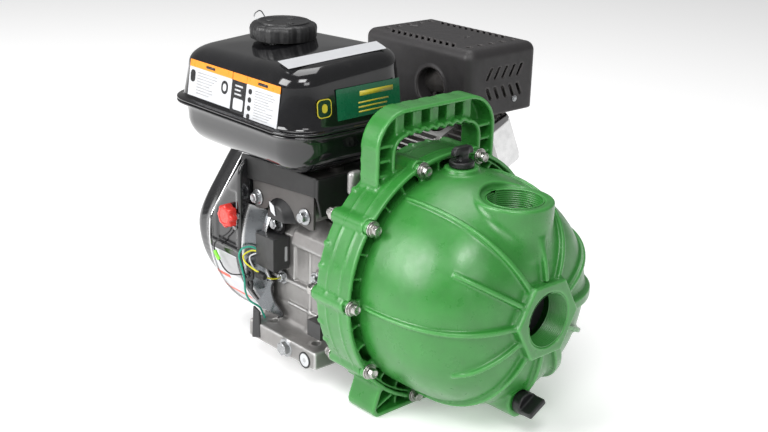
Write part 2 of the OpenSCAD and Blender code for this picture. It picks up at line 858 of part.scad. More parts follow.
module carburetor() from_port() color([0.66, 0.66, 0.67])
{
    difference() {
        union() {
            y_cyl(196, 262, 20, 141, 66);
            block(118, 196, 45, 164, 203, 88);
            block(118, 256, 45, 164, 262, 88);
            block(126, 212, 30, 156, 246, 66);
        }
        y_cyl(195, 263, 11, 141, 66);
        z_cyl(80, 96, 2 + gap, 141, choke_y);
        z_cyl(80, 96, 2 + gap, 141, throttle_y);
        x_cyl(150, 160, 3 + gap, 229, 38);
    }
    z_cyl(10, 31, 17, 141, 229);
}

module lever_z(x, y, reach, angle)
{
    z_cyl(81, 92, 2, x, y);
    z_cyl(91, 94, 6, x, y);
    translate([x, y, 91]) rotate([0, 0, angle]) translate([0, -3.5, 0]) cube([reach, 7, 3]);
    translate([x, y, 91]) rotate([0, 0, angle]) translate([reach, 0, 0]) cylinder(h = 10, r = 5);
}

module choke_lever() from_port() color(black) lever_z(141, choke_y, 34, 10);

module throttle_lever() from_port() color([0.55, 0.55, 0.56]) lever_z(141, throttle_y, 36, 0);

module fuel_valve_lever() from_port() color(black)
{
    x_cyl(151, 162, 3, 229, 38);
    x_cyl(161, 166, 9, 229, 38);
    block(162, 226, 14, 166, 232, 38);
}

module air_cleaner_base() from_port() color(black)
    difference() {
        in_xz(262, 268) polygon(round_rect(110, 20, 200, 130, 14));
        y_cyl(261, 269, 11, 141, 66);
    }

module air_filter() from_port() color([0.75, 0.70, 0.55])
    difference() {
        in_xz(268, 296) polygon(round_rect(117, 27, 193, 123, 10));
        in_xz(267, 297) polygon(round_rect(132, 44, 178, 106, 8));
    }

module air_cleaner_cover() from_port() color(black)
    difference() {
        in_xz(268, 312) polygon(round_rect(110, 20, 200, 130, 14));
        in_xz(267, 309) polygon(round_rect(113, 23, 197, 127, 12));
        y_cyl(300, 313, 4, filter_x, filter_z);
    }

module air_cleaner_knob() from_port() color(black)
{
    y_cyl(312, 320, 14, filter_x, filter_z);
    y_cyl(268.2, 312.5, 3.8, filter_x, filter_z);
}

module muffler() from_port() color([0.32, 0.31, 0.31])
{
    pipe_x = 127;
    difference() {
        union() {
            in_xz(98, 250) polygon(round_rect(120, 142, 208, 198, 20));
            z_cyl(90, 150, 14, pipe_x, cylinder_y);
            for (y = [130, 220]) z_cyl(190, 208, 5, 164, y);
        }
        in_xz(99.5, 248.5) polygon(round_rect(121.5, 143.5, 206.5, 196.5, 18.5));
        z_cyl(89, 151, 11, pipe_x, cylinder_y);
        along_cylinder() block(-52, -60, 80, 70, 60, 230);
    }
}

module muffler_guard() from_port() color(charcoal)
{
    x0 = 110;
    y0 = 86;
    z0 = 132;
    x1 = 222;
    y1 = 264;
    z1 = 210;
    t = 2;
    difference() {
        union() {
            in_yz(x0, x1) polygon(round_rect(y0, z0 - 30, y1, z1, 14));
        }
        block(x0 - eps, y0 - eps, z0 - 40, x1 + eps, y1 + eps, z0);
        in_yz(x0 + t, x1 - t) polygon(round_rect(y0 + t, z0 - 40, y1 - t, z1 - t, 12));
        x_cyl(x0 - eps, x0 + t + eps, 22, 158, 158);
        for (i = [0:4]) {
            for (y = [y0 + 20, y1 - 20]) z_cyl(z1 - 5, z1 + 1, 2.5, x0 + 20 + 18 * i, y);
            for (z = [z1 - 30, z1 - 54])
                translate([x0 + 24 + 15 * i, y0, z]) rotate([0, z > z1 - 40 ? 25 : -25, 0])
                    cube([4, 8, 20], center = true);
        }
        for (i = [0:10])
            for (x = [x0 + 18, x1 - 18])
                translate([x, y0 + 30 + 12 * i, z1]) rotate([0, 0, 40]) cube([2.4, 16, 8], center = true);
    }
}

module wiring() from_port() color([0.10, 0.55, 0.45])
{
    x_cyl(-116, -109, 1.2, 176, -20);
    z_cyl(-80, -19, 1.2, -115, 176);
    x_cyl(-116, -90, 1.2, 176, -80);
}

pump_casing();
pump_bracket();
casing_bolts();
casing_washers();
casing_nuts();
casing_seal();
volute();
impeller();
seal_seat();
seal_rotor();
seal_spring();
flap_valve();
flap_pin();
priming_plug();
drain_plug();
bracket_bolts();
crankcase();
crankcase_gasket();
crankcase_cover();
crankshaft();
camshaft();
crank_bearings();
piston();
wrist_pin();
cylinder_head();
valve_cover();
valve_cover_bolts();
spark_plug();
spark_plug_cap();
flywheel();
cooling_fan();
starter_cup();
fan_shroud();
recoil_cover();
recoil_reel();
recoil_spring();
starter_rope();
starter_grip();
fan_side_plate();
engine_switch();
oil_sensor_box();
oil_drain_bolt();
oil_filler_cap();
tank_shell();
tank_pan();
fuel_cap();
fuel_strainer();
tank_bracket();
tank_bolts();
carburetor();
choke_lever();
throttle_lever();
fuel_valve_lever();
air_cleaner_base();
air_filter();
air_cleaner_cover();
air_cleaner_knob();
muffler();
muffler_guard();
wiring();
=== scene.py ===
import math

import bpy
import numpy as np
from mathutils import Matrix, Vector


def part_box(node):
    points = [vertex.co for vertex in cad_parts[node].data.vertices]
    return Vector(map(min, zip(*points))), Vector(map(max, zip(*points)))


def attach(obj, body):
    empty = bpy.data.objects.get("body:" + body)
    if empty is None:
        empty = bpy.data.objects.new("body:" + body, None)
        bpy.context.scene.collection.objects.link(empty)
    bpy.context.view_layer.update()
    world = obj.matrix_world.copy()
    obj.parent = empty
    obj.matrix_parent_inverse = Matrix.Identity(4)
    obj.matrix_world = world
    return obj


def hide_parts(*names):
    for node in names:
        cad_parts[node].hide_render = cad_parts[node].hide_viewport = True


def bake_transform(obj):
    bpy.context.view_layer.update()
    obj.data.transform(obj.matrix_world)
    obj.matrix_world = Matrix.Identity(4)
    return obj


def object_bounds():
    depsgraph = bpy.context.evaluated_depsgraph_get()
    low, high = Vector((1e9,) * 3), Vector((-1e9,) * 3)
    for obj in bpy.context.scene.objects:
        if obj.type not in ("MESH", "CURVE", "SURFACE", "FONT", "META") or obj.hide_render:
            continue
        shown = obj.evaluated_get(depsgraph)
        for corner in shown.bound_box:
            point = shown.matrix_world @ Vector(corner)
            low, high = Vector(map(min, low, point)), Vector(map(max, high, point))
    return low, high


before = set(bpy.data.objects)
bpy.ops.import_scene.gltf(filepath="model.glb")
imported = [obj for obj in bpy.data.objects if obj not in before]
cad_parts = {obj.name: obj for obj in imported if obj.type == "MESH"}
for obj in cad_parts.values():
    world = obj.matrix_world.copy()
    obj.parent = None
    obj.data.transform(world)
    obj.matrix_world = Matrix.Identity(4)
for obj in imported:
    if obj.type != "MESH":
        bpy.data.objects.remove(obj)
cad_low, cad_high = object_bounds()

# Shapes are drawn in millimetres with Y measured from the joint plane between
# casing and bracket, which lies SUCTION_REACH behind the suction face.
MM = 0.001
SUCTION_REACH = 142.0
JOINT_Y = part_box("pump_casing")[0].y / MM + SUCTION_REACH
STATOR = "engine_frame"


def sin_cos(degrees):
    return math.sin(math.radians(degrees)), math.cos(math.radians(degrees))


def circle(n):
    """n angles round a circle, in radians."""
    return [2 * math.pi * i / n for i in range(n)]


def cad_box(node):
    """Corners of a CAD node in drawing millimetres."""
    low, high = (np.array(c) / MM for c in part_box(node))
    return low - [0, JOINT_Y, 0], high - [0, JOINT_Y, 0]


# ---------------------------------------------------------------- shapes
# A shape is (distance function, low corner, high corner), all in millimetres.

def bounded(fn, low, high):
    return fn, np.array(low, float), np.array(high, float)


def rounded(a, b, edge):
    """Distance to the meeting of two half spaces with a rounded edge."""
    a, b = a + edge, b + edge
    outside = np.sqrt(np.maximum(a, 0) ** 2 + np.maximum(b, 0) ** 2)
    return np.minimum(np.maximum(a, b), 0) + outside - edge


def rod(axis, start, end, r, centre, edge=0.8, sides=0, phase=0.0):
    """A cylinder, or a prism with flat sides, along one axis; centre is on the two others."""
    i = "xyz".index(axis)
    others = [k for k in range(3) if k != i]

    def fn(*p):
        u, v = (p[k] - c for k, c in zip(others, centre))
        if sides:
            sector = 2 * math.pi / sides
            turn = np.arctan2(v, u) - phase
            radial = np.hypot(u, v) * np.cos((turn + sector / 2) % sector - sector / 2) - r
        else:
            radial = np.hypot(u, v) - r
        axial = np.abs(p[i] - (start + end) / 2) - (end - start) / 2
        return rounded(radial, axial, edge)

    low, high = np.zeros(3), np.zeros(3)
    reach = r / math.cos(math.pi / sides) if sides else r
    low[i], high[i] = start, end
    for k, c in zip(others, centre):
        low[k], high[k] = c - reach, c + reach
    return bounded(fn, low, high)


def slab(low, high, edge=0.8):
    low, high = np.array(low, float), np.array(high, float)
    mid, half = (low + high) / 2, (high - low) / 2

    def fn(x, y, z):
        return rounded(rounded(np.abs(x - mid[0]) - half[0], np.abs(y - mid[1]) - half[1], edge),
                       np.abs(z - mid[2]) - half[2], edge)
    return bounded(fn, low, high)


def outline(points, u, v):
    """Signed distance to a closed polygon on broadcast coordinates."""
    u, v = np.broadcast_arrays(u, v)
    best = np.full(u.shape, 1e9, np.float32)
    inside = np.zeros(u.shape, bool)
    for (ax, ay), (bx, by) in zip(points, np.roll(points, -1, axis=0)):
        ex, ey = bx - ax, by - ay
        t = np.clip(((u - ax) * ex + (v - ay) * ey) / max(ex * ex + ey * ey, 1e-9), 0, 1)
        best = np.minimum(best, (u - ax - t * ex) ** 2 + (v - ay - t * ey) ** 2)
        crosses = ((ay > v) != (by > v)) & (u < ex * (v - ay) / (by - ay if by != ay else 1e-9) + ax)
        inside ^= crosses
    return np.where(inside, -1, 1) * np.sqrt(best)


def prism(axis, start, end, points, edge=0.8, grow=0.0):
    """A polygon on the two other axes, taken along one axis."""
    i = "xyz".index(axis)
    others = [k for k in range(3) if k != i]
    points = np.array(points, float)

    def fn(*p):
        flat = outline(points, p[others[0]], p[others[1]]) - grow
        return rounded(flat, np.abs(p[i] - (start + end) / 2) - (end - start) / 2, edge)

    low, high = np.zeros(3), np.zeros(3)
    low[i], high[i] = start, end
    for n, k in enumerate(others):
        low[k], high[k] = points[:, n].min() - grow, points[:, n].max() + grow
    return bounded(fn, low, high)


def about_y(angle, shape, origin=(0.0, 0.0, 0.0)):
    """Turns a shape about Y by an angle in degrees from +Z towards +X."""
    fn, low, high = shape
    s, c = sin_cos(angle)
    ox, oy, oz = origin

    def turned(x, y, z):
        return fn((x - ox) * c - (z - oz) * s, y - oy, (x - ox) * s + (z - oz) * c)

    corners = np.array([[x * c + z * s, y, -x * s + z * c] for x in (low[0], high[0])
                        for y in (low[1], high[1]) for z in (low[2], high[2])]) + origin
    return bounded(turned, corners.min(0), corners.max(0))


class Field:
    """Signed distance sampled on a grid: shapes are joined and cut with rounded seams."""

    def __init__(self, low, high, step):
        self.low, self.step = np.array(low, float) - 3 * step, step
        self.size = np.ceil((np.array(high, float) + 3 * step - self.low) / step).astype(int) + 1
        self.d = np.full(self.size, 40.0, np.float32)

    def window(self, low, high, seam):
        pad = 3 * self.step + seam
        a = np.clip(np.floor((low - pad - self.low) / self.step), 0, self.size - 1).astype(int)
        b = np.clip(np.ceil((high + pad - self.low) / self.step) + 1, a + 1, self.size).astype(int)
        axes = [(self.low[k] + self.step * np.arange(a[k], b[k])).astype(np.float32) for k in range(3)]
        return tuple(slice(i, j) for i, j in zip(a, b)), np.meshgrid(*axes, indexing="ij", sparse=True)

    def add(self, shape, seam=0.0):
        cut, grid = self.window(shape[1], shape[2], seam)
        old, new = self.d[cut], shape[0](*grid)
        if seam:
            h = np.clip(0.5 + 0.5 * (old - new) / seam, 0, 1)
            self.d[cut] = old + (new - old) * h - seam * h * (1 - h)
        else:
            self.d[cut] = np.minimum(old, new)
        return self

    def cut(self, shape, seam=0.0):
        cut, grid = self.window(shape[1], shape[2], seam)
        old, new = self.d[cut], -shape[0](*grid)
        if seam:
            h = np.clip(0.5 - 0.5 * (old - new) / seam, 0, 1)
            self.d[cut] = old + (new - old) * h + seam * h * (1 - h)
        else:
            self.d[cut] = np.maximum(old, new)
        return self

    def sample(self, p):
        q = (p - self.low) / self.step
        base = np.clip(np.floor(q).astype(int), 0, self.size - 2)
        t = q - base
        total = 0
        for i in (0, 1):
            for j in (0, 1):
                for k in (0, 1):
                    w = (np.abs(1 - i - t[:, 0]) * np.abs(1 - j - t[:, 1]) * np.abs(1 - k - t[:, 2]))
                    total = total + w * self.d[base[:, 0] + i, base[:, 1] + j, base[:, 2] + k]
        return total

    def slope(self, p):
        e = np.eye(3) * self.step * 0.75
        return np.stack([self.sample(p + e[k]) - self.sample(p - e[k]) for k in range(3)], 1) / (1.5 * self.step)

    def skin(self):
        """Points, quads and point normals of the zero surface."""
        corners = np.array([(i, j, k) for i in (0, 1) for j in (0, 1) for k in (0, 1)])
        inside, n = self.d < 0, self.size - 1
        count = np.zeros(n, np.int8)
        for i, j, k in corners:
            count += inside[i:n[0] + i, j:n[1] + j, k:n[2] + k]
        cells = np.argwhere((count > 0) & (count < 8))
        index = np.full(n, -1, np.int64)
        index[tuple(cells.T)] = np.arange(len(cells))
        value = np.stack([self.d[tuple((cells + c).T)] for c in corners], 1)
        total, hits = np.zeros((len(cells), 3)), np.zeros(len(cells))
        for a in range(8):
            for b in range(a + 1, 8):
                if np.abs(corners[a] - corners[b]).sum() != 1:
                    continue
                va, vb = value[:, a], value[:, b]
                hit = (va < 0) != (vb < 0)
                t = np.where(hit, va / np.where(hit, va - vb, 1), 0)
                total += hit[:, None] * (corners[a] + t[:, None] * (corners[b] - corners[a]))
                hits += hit
        points = (cells + total / hits[:, None]) * self.step + self.low
        for _ in range(2):
            g = self.slope(points)
            move = -self.sample(points)[:, None] * g / np.maximum((g * g).sum(1), 0.2)[:, None]
            points += np.clip(move, -0.3 * self.step, 0.3 * self.step)
        g = self.slope(points)
        normals = g / np.maximum(np.linalg.norm(g, axis=1), 1e-9)[:, None]
        quads = []
        for a in range(3):
            b, c = (a + 1) % 3, (a + 2) % 3
            first = [slice(1, -1)] * 3
            second = list(first)
            first[a], second[a] = slice(0, -1), slice(1, None)
            edge = inside[tuple(first)] != inside[tuple(second)]
            p = np.argwhere(edge)
            p[:, b] += 1
            p[:, c] += 1
            eb, ec = np.eye(3, dtype=int)[b], np.eye(3, dtype=int)[c]
            ring = np.stack([index[tuple((p - o).T)] for o in (0 * eb, eb, eb + ec, ec)], 1)
            outward = inside[tuple(p.T)]
            quads.append(np.where(outward[:, None], ring, ring[:, ::-1]))
        return points, np.concatenate(quads), normals


# ---------------------------------------------------------------- meshes

def mesh_object(name, points, faces, material, body=STATOR, stands_for=(), normals=None, sharp=None):
    """Makes one piece from drawing millimetres. Faces are an array or a list of index tuples."""
    mesh = bpy.data.meshes.new(name)
    world = (np.asarray(points, float) + [0, JOINT_Y, 0]) * MM
    mesh.from_pydata(world.tolist(), [], [tuple(int(i) for i in f) for f in faces])
    mesh.polygons.foreach_set("use_smooth", np.ones(len(mesh.polygons), bool))
    if normals is not None:
        mesh.normals_split_custom_set_from_vertices(normals.tolist())
    elif sharp:
        mesh.set_sharp_from_angle(angle=math.radians(sharp))
    mesh.update()
    piece = bpy.data.objects.new(name, mesh)
    bpy.context.scene.collection.objects.link(piece)
    mesh.materials.append(MATERIALS[material])
    if body:
        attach(piece, body)
    if stands_for:
        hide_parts(*stands_for)
    return piece


def moulded(name, field, material, extra=(), keep=None, **options):
    """A piece skinned from a field, with plain (points, faces, normals) parts joined on."""
    points, quads, normals = field.skin()
    if keep is not None:
        gone = ~keep(points)
        quads = quads[~gone[quads].any(axis=1)]
    faces = [tuple(q) for q in quads]
    for more_points, more_faces, more_normals in extra:
        base = len(points)
        points = np.concatenate([points, more_points])
        normals = np.concatenate([normals, more_normals])
        faces += [tuple(i + base for i in f) for f in more_faces]
    return mesh_object(name, points, faces, material, normals=normals, **options)


def loft(rings, caps=(True, True)):
    """Points and faces through closed rings that all have the same number of points."""
    n = len(rings[0])
    points = [p for ring in rings for p in ring]
    faces = []
    for k in range(len(rings) - 1):
        for i in range(n):
            j = (i + 1) % n
            faces.append((k * n + i, k * n + j, (k + 1) * n + j, (k + 1) * n + i))
    if caps[0]:
        faces.append(tuple(reversed(range(n))))
    if caps[1]:
        faces.append(tuple(range((len(rings) - 1) * n, len(rings) * n)))
    return points, faces


def frame_of(direction):
    """Two unit vectors square to a direction."""
    d = Vector(direction).normalized()
    side = d.cross(Vector((0, 0, 1)) if abs(d.z) < 0.9 else Vector((1, 0, 0))).normalized()
    return np.array(side), np.array(d.cross(side)), np.array(d)


def turned(profile, centre, direction, n=48):
    """Rings of a profile of (radius, distance) turned about a direction through centre."""
    u, v, d = frame_of(direction)
    rings = []
    for r, t in profile:
        rings.append([np.array(centre) + d * t + u * r * math.cos(a) + v * r * math.sin(a) for a in circle(n)])
    return rings


def bolt_rings(centre, direction, across, height, washer_r=0.0, turn=0.0, n=36):
    """A hexagon head with softened corners and a chamfer, on a flange."""
    u, v, d = frame_of(direction)

    def ring(r, t, hexed):
        out = []
        for a in circle(n):
            reach = r
            if hexed:
                reach = min(r / math.cos((a % (math.pi / 3)) - math.pi / 6), r * 1.12)
            out.append(np.array(centre) + d * t + reach * (u * math.cos(a + turn) + v * math.sin(a + turn)))
        return out

    half, rings, base = across / 2, [], 0.0
    if washer_r:
        rings = [ring(r, t, False) for r, t in ((washer_r - 0.4, 0), (washer_r, 0.4), (washer_r, 1.1),
                                                (washer_r * 0.92, 1.7))]
        base = 1.8
    crown = ((0.93, height - 0.1), (0.8, height), (0.6, height - 0.5))
    return rings + [ring(half, base, True), ring(half, height - 0.7, True)] \
        + [ring(half * share, t, False) for share, t in crown]


def cable(name, path, r, material, sides=8, stands_for=()):
    """A smooth tube through the points of a path."""
    steps = 6
    path = [np.array(p, float) for p in path]
    ends = [2 * path[0] - path[1]] + path + [2 * path[-1] - path[-2]]
    line = []
    for k in range(1, len(ends) - 2):
        a, b, c, d = ends[k - 1:k + 3]
        for i in range(steps):
            t = i / steps
            line.append(0.5 * (2 * b + (c - a) * t + (2 * a - 5 * b + 4 * c - d) * t ** 2
                               + (3 * b - a - 3 * c + d) * t ** 3))
    line.append(path[-1])
    side, rings = None, []
    for k, p in enumerate(line):
        ahead = line[min(k + 1, len(line) - 1)] - line[max(k - 1, 0)]
        ahead = ahead / np.linalg.norm(ahead)
        if side is None:
            side = frame_of(ahead)[0]
        side = side - ahead * (side @ ahead)
        side = side / np.linalg.norm(side)
        other = np.cross(ahead, side)
        rings.append([p + r * (side * math.cos(a) + other * math.sin(a)) for a in circle(sides)])
    return mesh_object(name, *loft(rings), material, stands_for=stands_for, sharp=50)


def joined(parts):
    """Several (points, faces) as one."""
    points, faces = [], []
    for p, f in parts:
        base = len(points)
        points += list(p)
        faces += [tuple(i + base for i in face) for face in f]
    return points, faces


# ---------------------------------------------------------------- finishes

MATERIALS, SLOTS = {}, {}


def link(tree, a, b):
    tree.links.new(a, b)


def noise(tree, coords, size_mm, detail=4.0, stretch=(1, 1, 1), rough=0.55):
    mapping = tree.nodes.new("ShaderNodeMapping")
    mapping.inputs["Scale"].default_value = stretch
    link(tree, coords, mapping.inputs["Vector"])
    node = tree.nodes.new("ShaderNodeTexNoise")
    node.inputs["Scale"].default_value = 1.0 / (size_mm * MM)
    node.inputs["Detail"].default_value = detail
    node.inputs["Roughness"].default_value = rough
    link(tree, mapping.outputs[0], node.inputs["Vector"])
    return node.outputs["Fac"]


def ramp(tree, source, stops):
    node = tree.nodes.new("ShaderNodeValToRGB")
    elements = node.color_ramp.elements
    while len(elements) < len(stops):
        elements.new(0.5)
    for element, (place, value) in zip(elements, stops):
        element.position = place
        element.color = (*value, 1.0) if isinstance(value, tuple) else (value, value, value, 1.0)
    link(tree, source, node.inputs["Fac"])
    return node.outputs["Color"]


def mixed(tree, amount, a, b):
    node = tree.nodes.new("ShaderNodeMix")
    node.data_type = "RGBA"
    for socket, value in ((node.inputs["Factor"], amount), (node.inputs[6], a), (node.inputs[7], b)):
        if isinstance(value, (tuple, float, int)):
            socket.default_value = (*value, 1.0) if isinstance(value, tuple) else value
        else:
            link(tree, value, socket)
    return node.outputs[2]


def finish(name, slot, colour, rough, metal=0.0, vary=0.12, patch=14.0, grain=0.6, bump=0.05,
           dirt_and_sheen=None, edge=None, coat=0.0, stretch=(1, 1, 1), swing=0.10, pits=0.0, ripple=0.0,
           coat_rough=0.06):
    """A surface with patchy tone, fine grain, uneven gloss, edges lightened as wear and as a painted highlight, and
    spots of settled grime, which on the green casing are a painted lighter sheen instead.

    patch, grain, bump, pits and ripple are sizes in millimetres; the spot and edge marks are each given as (colour,
    amount).
    """
    mat = bpy.data.materials.new(name)
    mat.use_nodes = True
    tree = mat.node_tree
    shader = tree.nodes["Principled BSDF"]
    coords = tree.nodes.new("ShaderNodeTexCoord").outputs["Object"]
    broad = noise(tree, coords, patch, 5.0, stretch)
    fine = noise(tree, coords, grain, 3.0, stretch, 0.6)
    low = tuple(c * (1 - vary) for c in colour)
    high = tuple(min(c * (1 + vary), 1.0) for c in colour)
    tone = ramp(tree, broad, [(0.3, low), (0.7, high)])
    tone = mixed(tree, ramp(tree, fine, [(0.35, 0.0), (0.75, 0.22)]), tone, tuple(c * 0.6 for c in colour))
    # spots of a second colour: settled grime on most finishes; on the green casing the lighter green spots are a
    # painted sheen
    if dirt_and_sheen:
        spots = noise(tree, coords, patch * 0.4, 6.0, (1, 1, 1), 0.7)
        tone = mixed(tree, ramp(tree, spots, [(0.58, 0.0), (0.78, dirt_and_sheen[1])]), tone, dirt_and_sheen[0])
    # convex edges are lightened by pointiness: partly edge wear, partly a painted highlight along the edges
    if edge:
        geometry = tree.nodes.new("ShaderNodeNewGeometry")
        tone = mixed(tree, ramp(tree, geometry.outputs["Pointiness"], [(0.505, 0.0), (0.56, edge[1])]),
                     tone, edge[0])
    link(tree, tone, shader.inputs["Base Color"])
    gloss = ramp(tree, noise(tree, coords, patch * 0.6, 6.0, stretch, 0.65),
                 [(0.3, max(rough - swing, 0.02)), (0.7, min(rough + swing, 1.0))])
    link(tree, gloss, shader.inputs["Roughness"])
    shader.inputs["Metallic"].default_value = metal
    if coat:
        shader.inputs["Coat Weight"].default_value = coat
        shader.inputs["Coat Roughness"].default_value = coat_rough
    height = fine
    if pits:
        cells = tree.nodes.new("ShaderNodeTexVoronoi")
        cells.inputs["Scale"].default_value = 1.0 / (pits * MM)
        link(tree, coords, cells.inputs["Vector"])
        height = mixed(tree, 0.5, fine, cells.outputs["Distance"])
    relief = tree.nodes.new("ShaderNodeBump")
    relief.inputs["Strength"].default_value = 0.6
    relief.inputs["Distance"].default_value = bump * MM
    link(tree, height, relief.inputs["Height"])
    if ripple:
        wavy = tree.nodes.new("ShaderNodeBump")
        wavy.inputs["Strength"].default_value = 0.5
        wavy.inputs["Distance"].default_value = ripple * MM
        link(tree, noise(tree, coords, 9.0, 3.0), wavy.inputs["Height"])
        link(tree, wavy.outputs["Normal"], relief.inputs["Normal"])
    link(tree, relief.outputs["Normal"], shader.inputs["Normal"])
    MATERIALS[name], SLOTS[name] = mat, slot


DUST = (0.42, 0.40, 0.36)
# the casing's lighter green spots are a painted sheen; its paler edges are partly wear and partly a painted sheen
finish("pump_green", "green_poly", (0.028, 0.215, 0.030), 0.34, vary=0.12, patch=26, grain=0.9, bump=0.10,
       edge=((0.09, 0.40, 0.09), 0.55), dirt_and_sheen=((0.09, 0.34, 0.09), 0.35), swing=0.12, ripple=0.35,
       coat=0.45, coat_rough=0.34)
finish("dark_moulding", "dark_poly", (0.05, 0.055, 0.06), 0.5)
finish("black_moulding", "black_plastic", (0.009, 0.009, 0.010), 0.40, vary=0.2, bump=0.08,
       edge=((0.06, 0.06, 0.06), 0.4))
finish("tank_black", "tank_paint", (0.006, 0.006, 0.007), 0.13, vary=0.3, patch=40, grain=1.5, bump=0.012,
       coat=0.6, swing=0.05, dirt_and_sheen=(DUST, 0.03))
finish("valance_black", "tank_paint", (0.005, 0.005, 0.005), 0.5, vary=0.3, patch=30, grain=1.2, bump=0.02,
       swing=0.06)
finish("shroud_black", "shroud_paint", (0.009, 0.009, 0.010), 0.20, vary=0.3, patch=30, grain=1.2, bump=0.02,
       coat=0.5, swing=0.06, dirt_and_sheen=(DUST, 0.05))
finish("guard_charcoal", "guard_paint", (0.026, 0.024, 0.025), 0.50, vary=0.12, patch=22, grain=0.35, bump=0.06,
       edge=((0.10, 0.09, 0.09), 0.4))
finish("cast_aluminium", "cast_aluminium", (0.31, 0.30, 0.293), 0.42, metal=0.7, vary=0.10, patch=18, grain=0.5,
       bump=0.16, dirt_and_sheen=((0.20, 0.19, 0.18), 0.55), edge=((0.80, 0.80, 0.79), 0.6), pits=1.1)
finish("machined_aluminium", "machined_aluminium", (0.66, 0.66, 0.66), 0.28, metal=0.9, stretch=(1, 6, 1),
       bump=0.03)
finish("bright_steel", "bright_steel", (0.72, 0.72, 0.72), 0.14, metal=1.0, swing=0.06, bump=0.01)
finish("zinc_steel", "zinc_steel", (0.40, 0.41, 0.42), 0.30, metal=0.95, vary=0.16, patch=9, bump=0.03,
       dirt_and_sheen=((0.28, 0.26, 0.24), 0.4))
finish("zinc_plate", "zinc_steel", (0.17, 0.18, 0.19), 0.27, metal=0.9, vary=0.08, patch=30, grain=0.5, bump=0.01,
       edge=((0.8, 0.8, 0.8), 0.7), swing=0.08)
finish("stainless", "stainless", (0.48, 0.47, 0.45), 0.30, metal=1.0, patch=6, bump=0.02,
       dirt_and_sheen=((0.2, 0.2, 0.19), 0.4))
finish("forged_steel", "forged_steel", (0.36, 0.36, 0.37), 0.34, metal=0.95)
finish("cast_iron", "cast_iron", (0.14, 0.14, 0.145), 0.55, metal=0.6, bump=0.12)
finish("muffler_steel", "muffler_steel", (0.17, 0.16, 0.155), 0.48, metal=0.8, vary=0.25,
       dirt_and_sheen=((0.20, 0.10, 0.05), 0.5))
finish("bracket_steel", "bracket_steel", (0.085, 0.08, 0.077), 0.42, metal=0.4, vary=0.10, patch=20, bump=0.03)
finish("rubber", "seal_rubber", (0.016, 0.016, 0.017), 0.55, bump=0.06)
finish("ceramic", "ceramic", (0.80, 0.78, 0.72), 0.3, vary=0.05, bump=0.02)
finish("carbon", "carbon", (0.04, 0.04, 0.042), 0.35)
finish("red_plastic", "red_knob", (0.72, 0.045, 0.035), 0.24, patch=8, bump=0.03, edge=((0.85, 0.25, 0.2), 0.5))
finish("strainer", "strainer_plastic", (0.70, 0.62, 0.40), 0.35)
finish("foam", "filter_foam", (0.10, 0.10, 0.11), 0.9, grain=1.4, bump=0.5)
finish("cord", "rope_fabric", (0.70, 0.69, 0.64), 0.8, grain=0.8, bump=0.3)
finish("green_wire", "wire_green", (0.01, 0.30, 0.20), 0.35, patch=6)
finish("yellow_wire", "wire_green", (0.66, 0.62, 0.03), 0.4, patch=6)
finish("lime_sleeve", "wire_green", (0.25, 0.80, 0.06), 0.4, patch=5)
for kind, colour, rough, looks in (
        ("white", (0.60, 0.61, 0.63), 0.40, dict(vary=0.03, patch=18, coat=0.3)),
        ("grey", (0.42, 0.42, 0.43), 0.36, dict(vary=0.06, patch=12)),
        ("orange", (0.95, 0.30, 0.02), 0.33, dict(vary=0.05, patch=16, coat=0.3)),
        ("red", (0.85, 0.08, 0.03), 0.33, dict(vary=0.05, patch=16)),
        ("black", (0.014, 0.014, 0.015), 0.3, dict(vary=0.2)),
        ("green", (0.008, 0.125, 0.055), 0.30, dict(vary=0.08, patch=20, coat=0.4)),
        ("dark_green", (0.004, 0.022, 0.014), 0.30, dict(vary=0.15, coat=0.4)),
        ("gold", (0.62, 0.52, 0.04), 0.35, dict(vary=0.08))):
    finish("label_" + kind, "tank_paint", colour, rough, bump=0.01, **looks)


# ---------------------------------------------------------------- pump casing

CASING_R, CASING_H, RIB = 121.0, 133.0, 4.5
BOLT_R, BOLTS = 131.5, 10
BOLT_ANGLES = [360 / BOLTS * (i + 0.5) for i in range(BOLTS)]
PORT_R, PORT_DEPTH = 28.7, 26.0
DISCHARGE_Y, DISCHARGE_Z = -88.0, 111.0
DRAIN_Z, COLLAR_Y = -100.0, -14.0
NOSE_APOTHEM = 38.0


def polar(angle, r, y=0.0):
    """A point at an angle in degrees round the shaft, from +Z towards +X."""
    s, c = sin_cos(angle)
    return np.array([r * s, y, r * c])


def dome_distance(x, y, z, r, h):
    """Near distance to the casing's blunt dome of radius r and height h."""
    a, b = np.hypot(x, z) / r, np.maximum(-y, 0) / h
    g = np.maximum((a ** 3 + b ** 3) ** (1 / 3), 1e-6)
    return (g - 1) * g ** 2 / np.maximum(np.sqrt((a ** 2 / r) ** 2 + (b ** 2 / h) ** 2), 1e-6)


def dome(r, h, rear):
    def fn(x, y, z):
        return np.maximum(dome_distance(x, y, z, r, h), y - rear)
    return bounded(fn, [-r, -h, -r], [r, rear, r])


def rib(angle, width, height, start=0.0, low_r=0.0, high_r=200.0, bend=0.0):
    """A fin on the dome in a plane through the shaft: it starts at a depth and grows towards the nose."""
    nose = 2.2
    s0, c0 = sin_cos(angle)

    def fn(x, y, z):
        along, across = x * s0 + z * c0, x * c0 - z * s0
        depth = np.clip(-y / CASING_H, 0, 1)
        across = across - bend * np.clip(1 - depth, 0, 1) ** 2
        rise = height * np.clip((-y - start) / 22 + 0.25, 0, 1) + nose * depth ** 3
        body = dome_distance(x, y, z, CASING_R, CASING_H) - rise
        side = rounded(np.abs(across) - width / 2 * (0.8 + 0.5 * depth ** 2), body, 1.2)
        span = np.maximum(low_r - along, along - high_r)
        return np.maximum(np.maximum(side, span), np.maximum(-140.0 - y, y + max(start, 4.0)))

    reach = CASING_R + height + nose
    tip, wide = np.array([s0, 0, c0]) * reach, width + abs(bend) + 2
    low = np.minimum(tip, 0) - wide
    high = np.maximum(tip, 0) + wide
    low[1], high[1] = -CASING_H - height - nose, -4.0
    return bounded(fn, low, high)


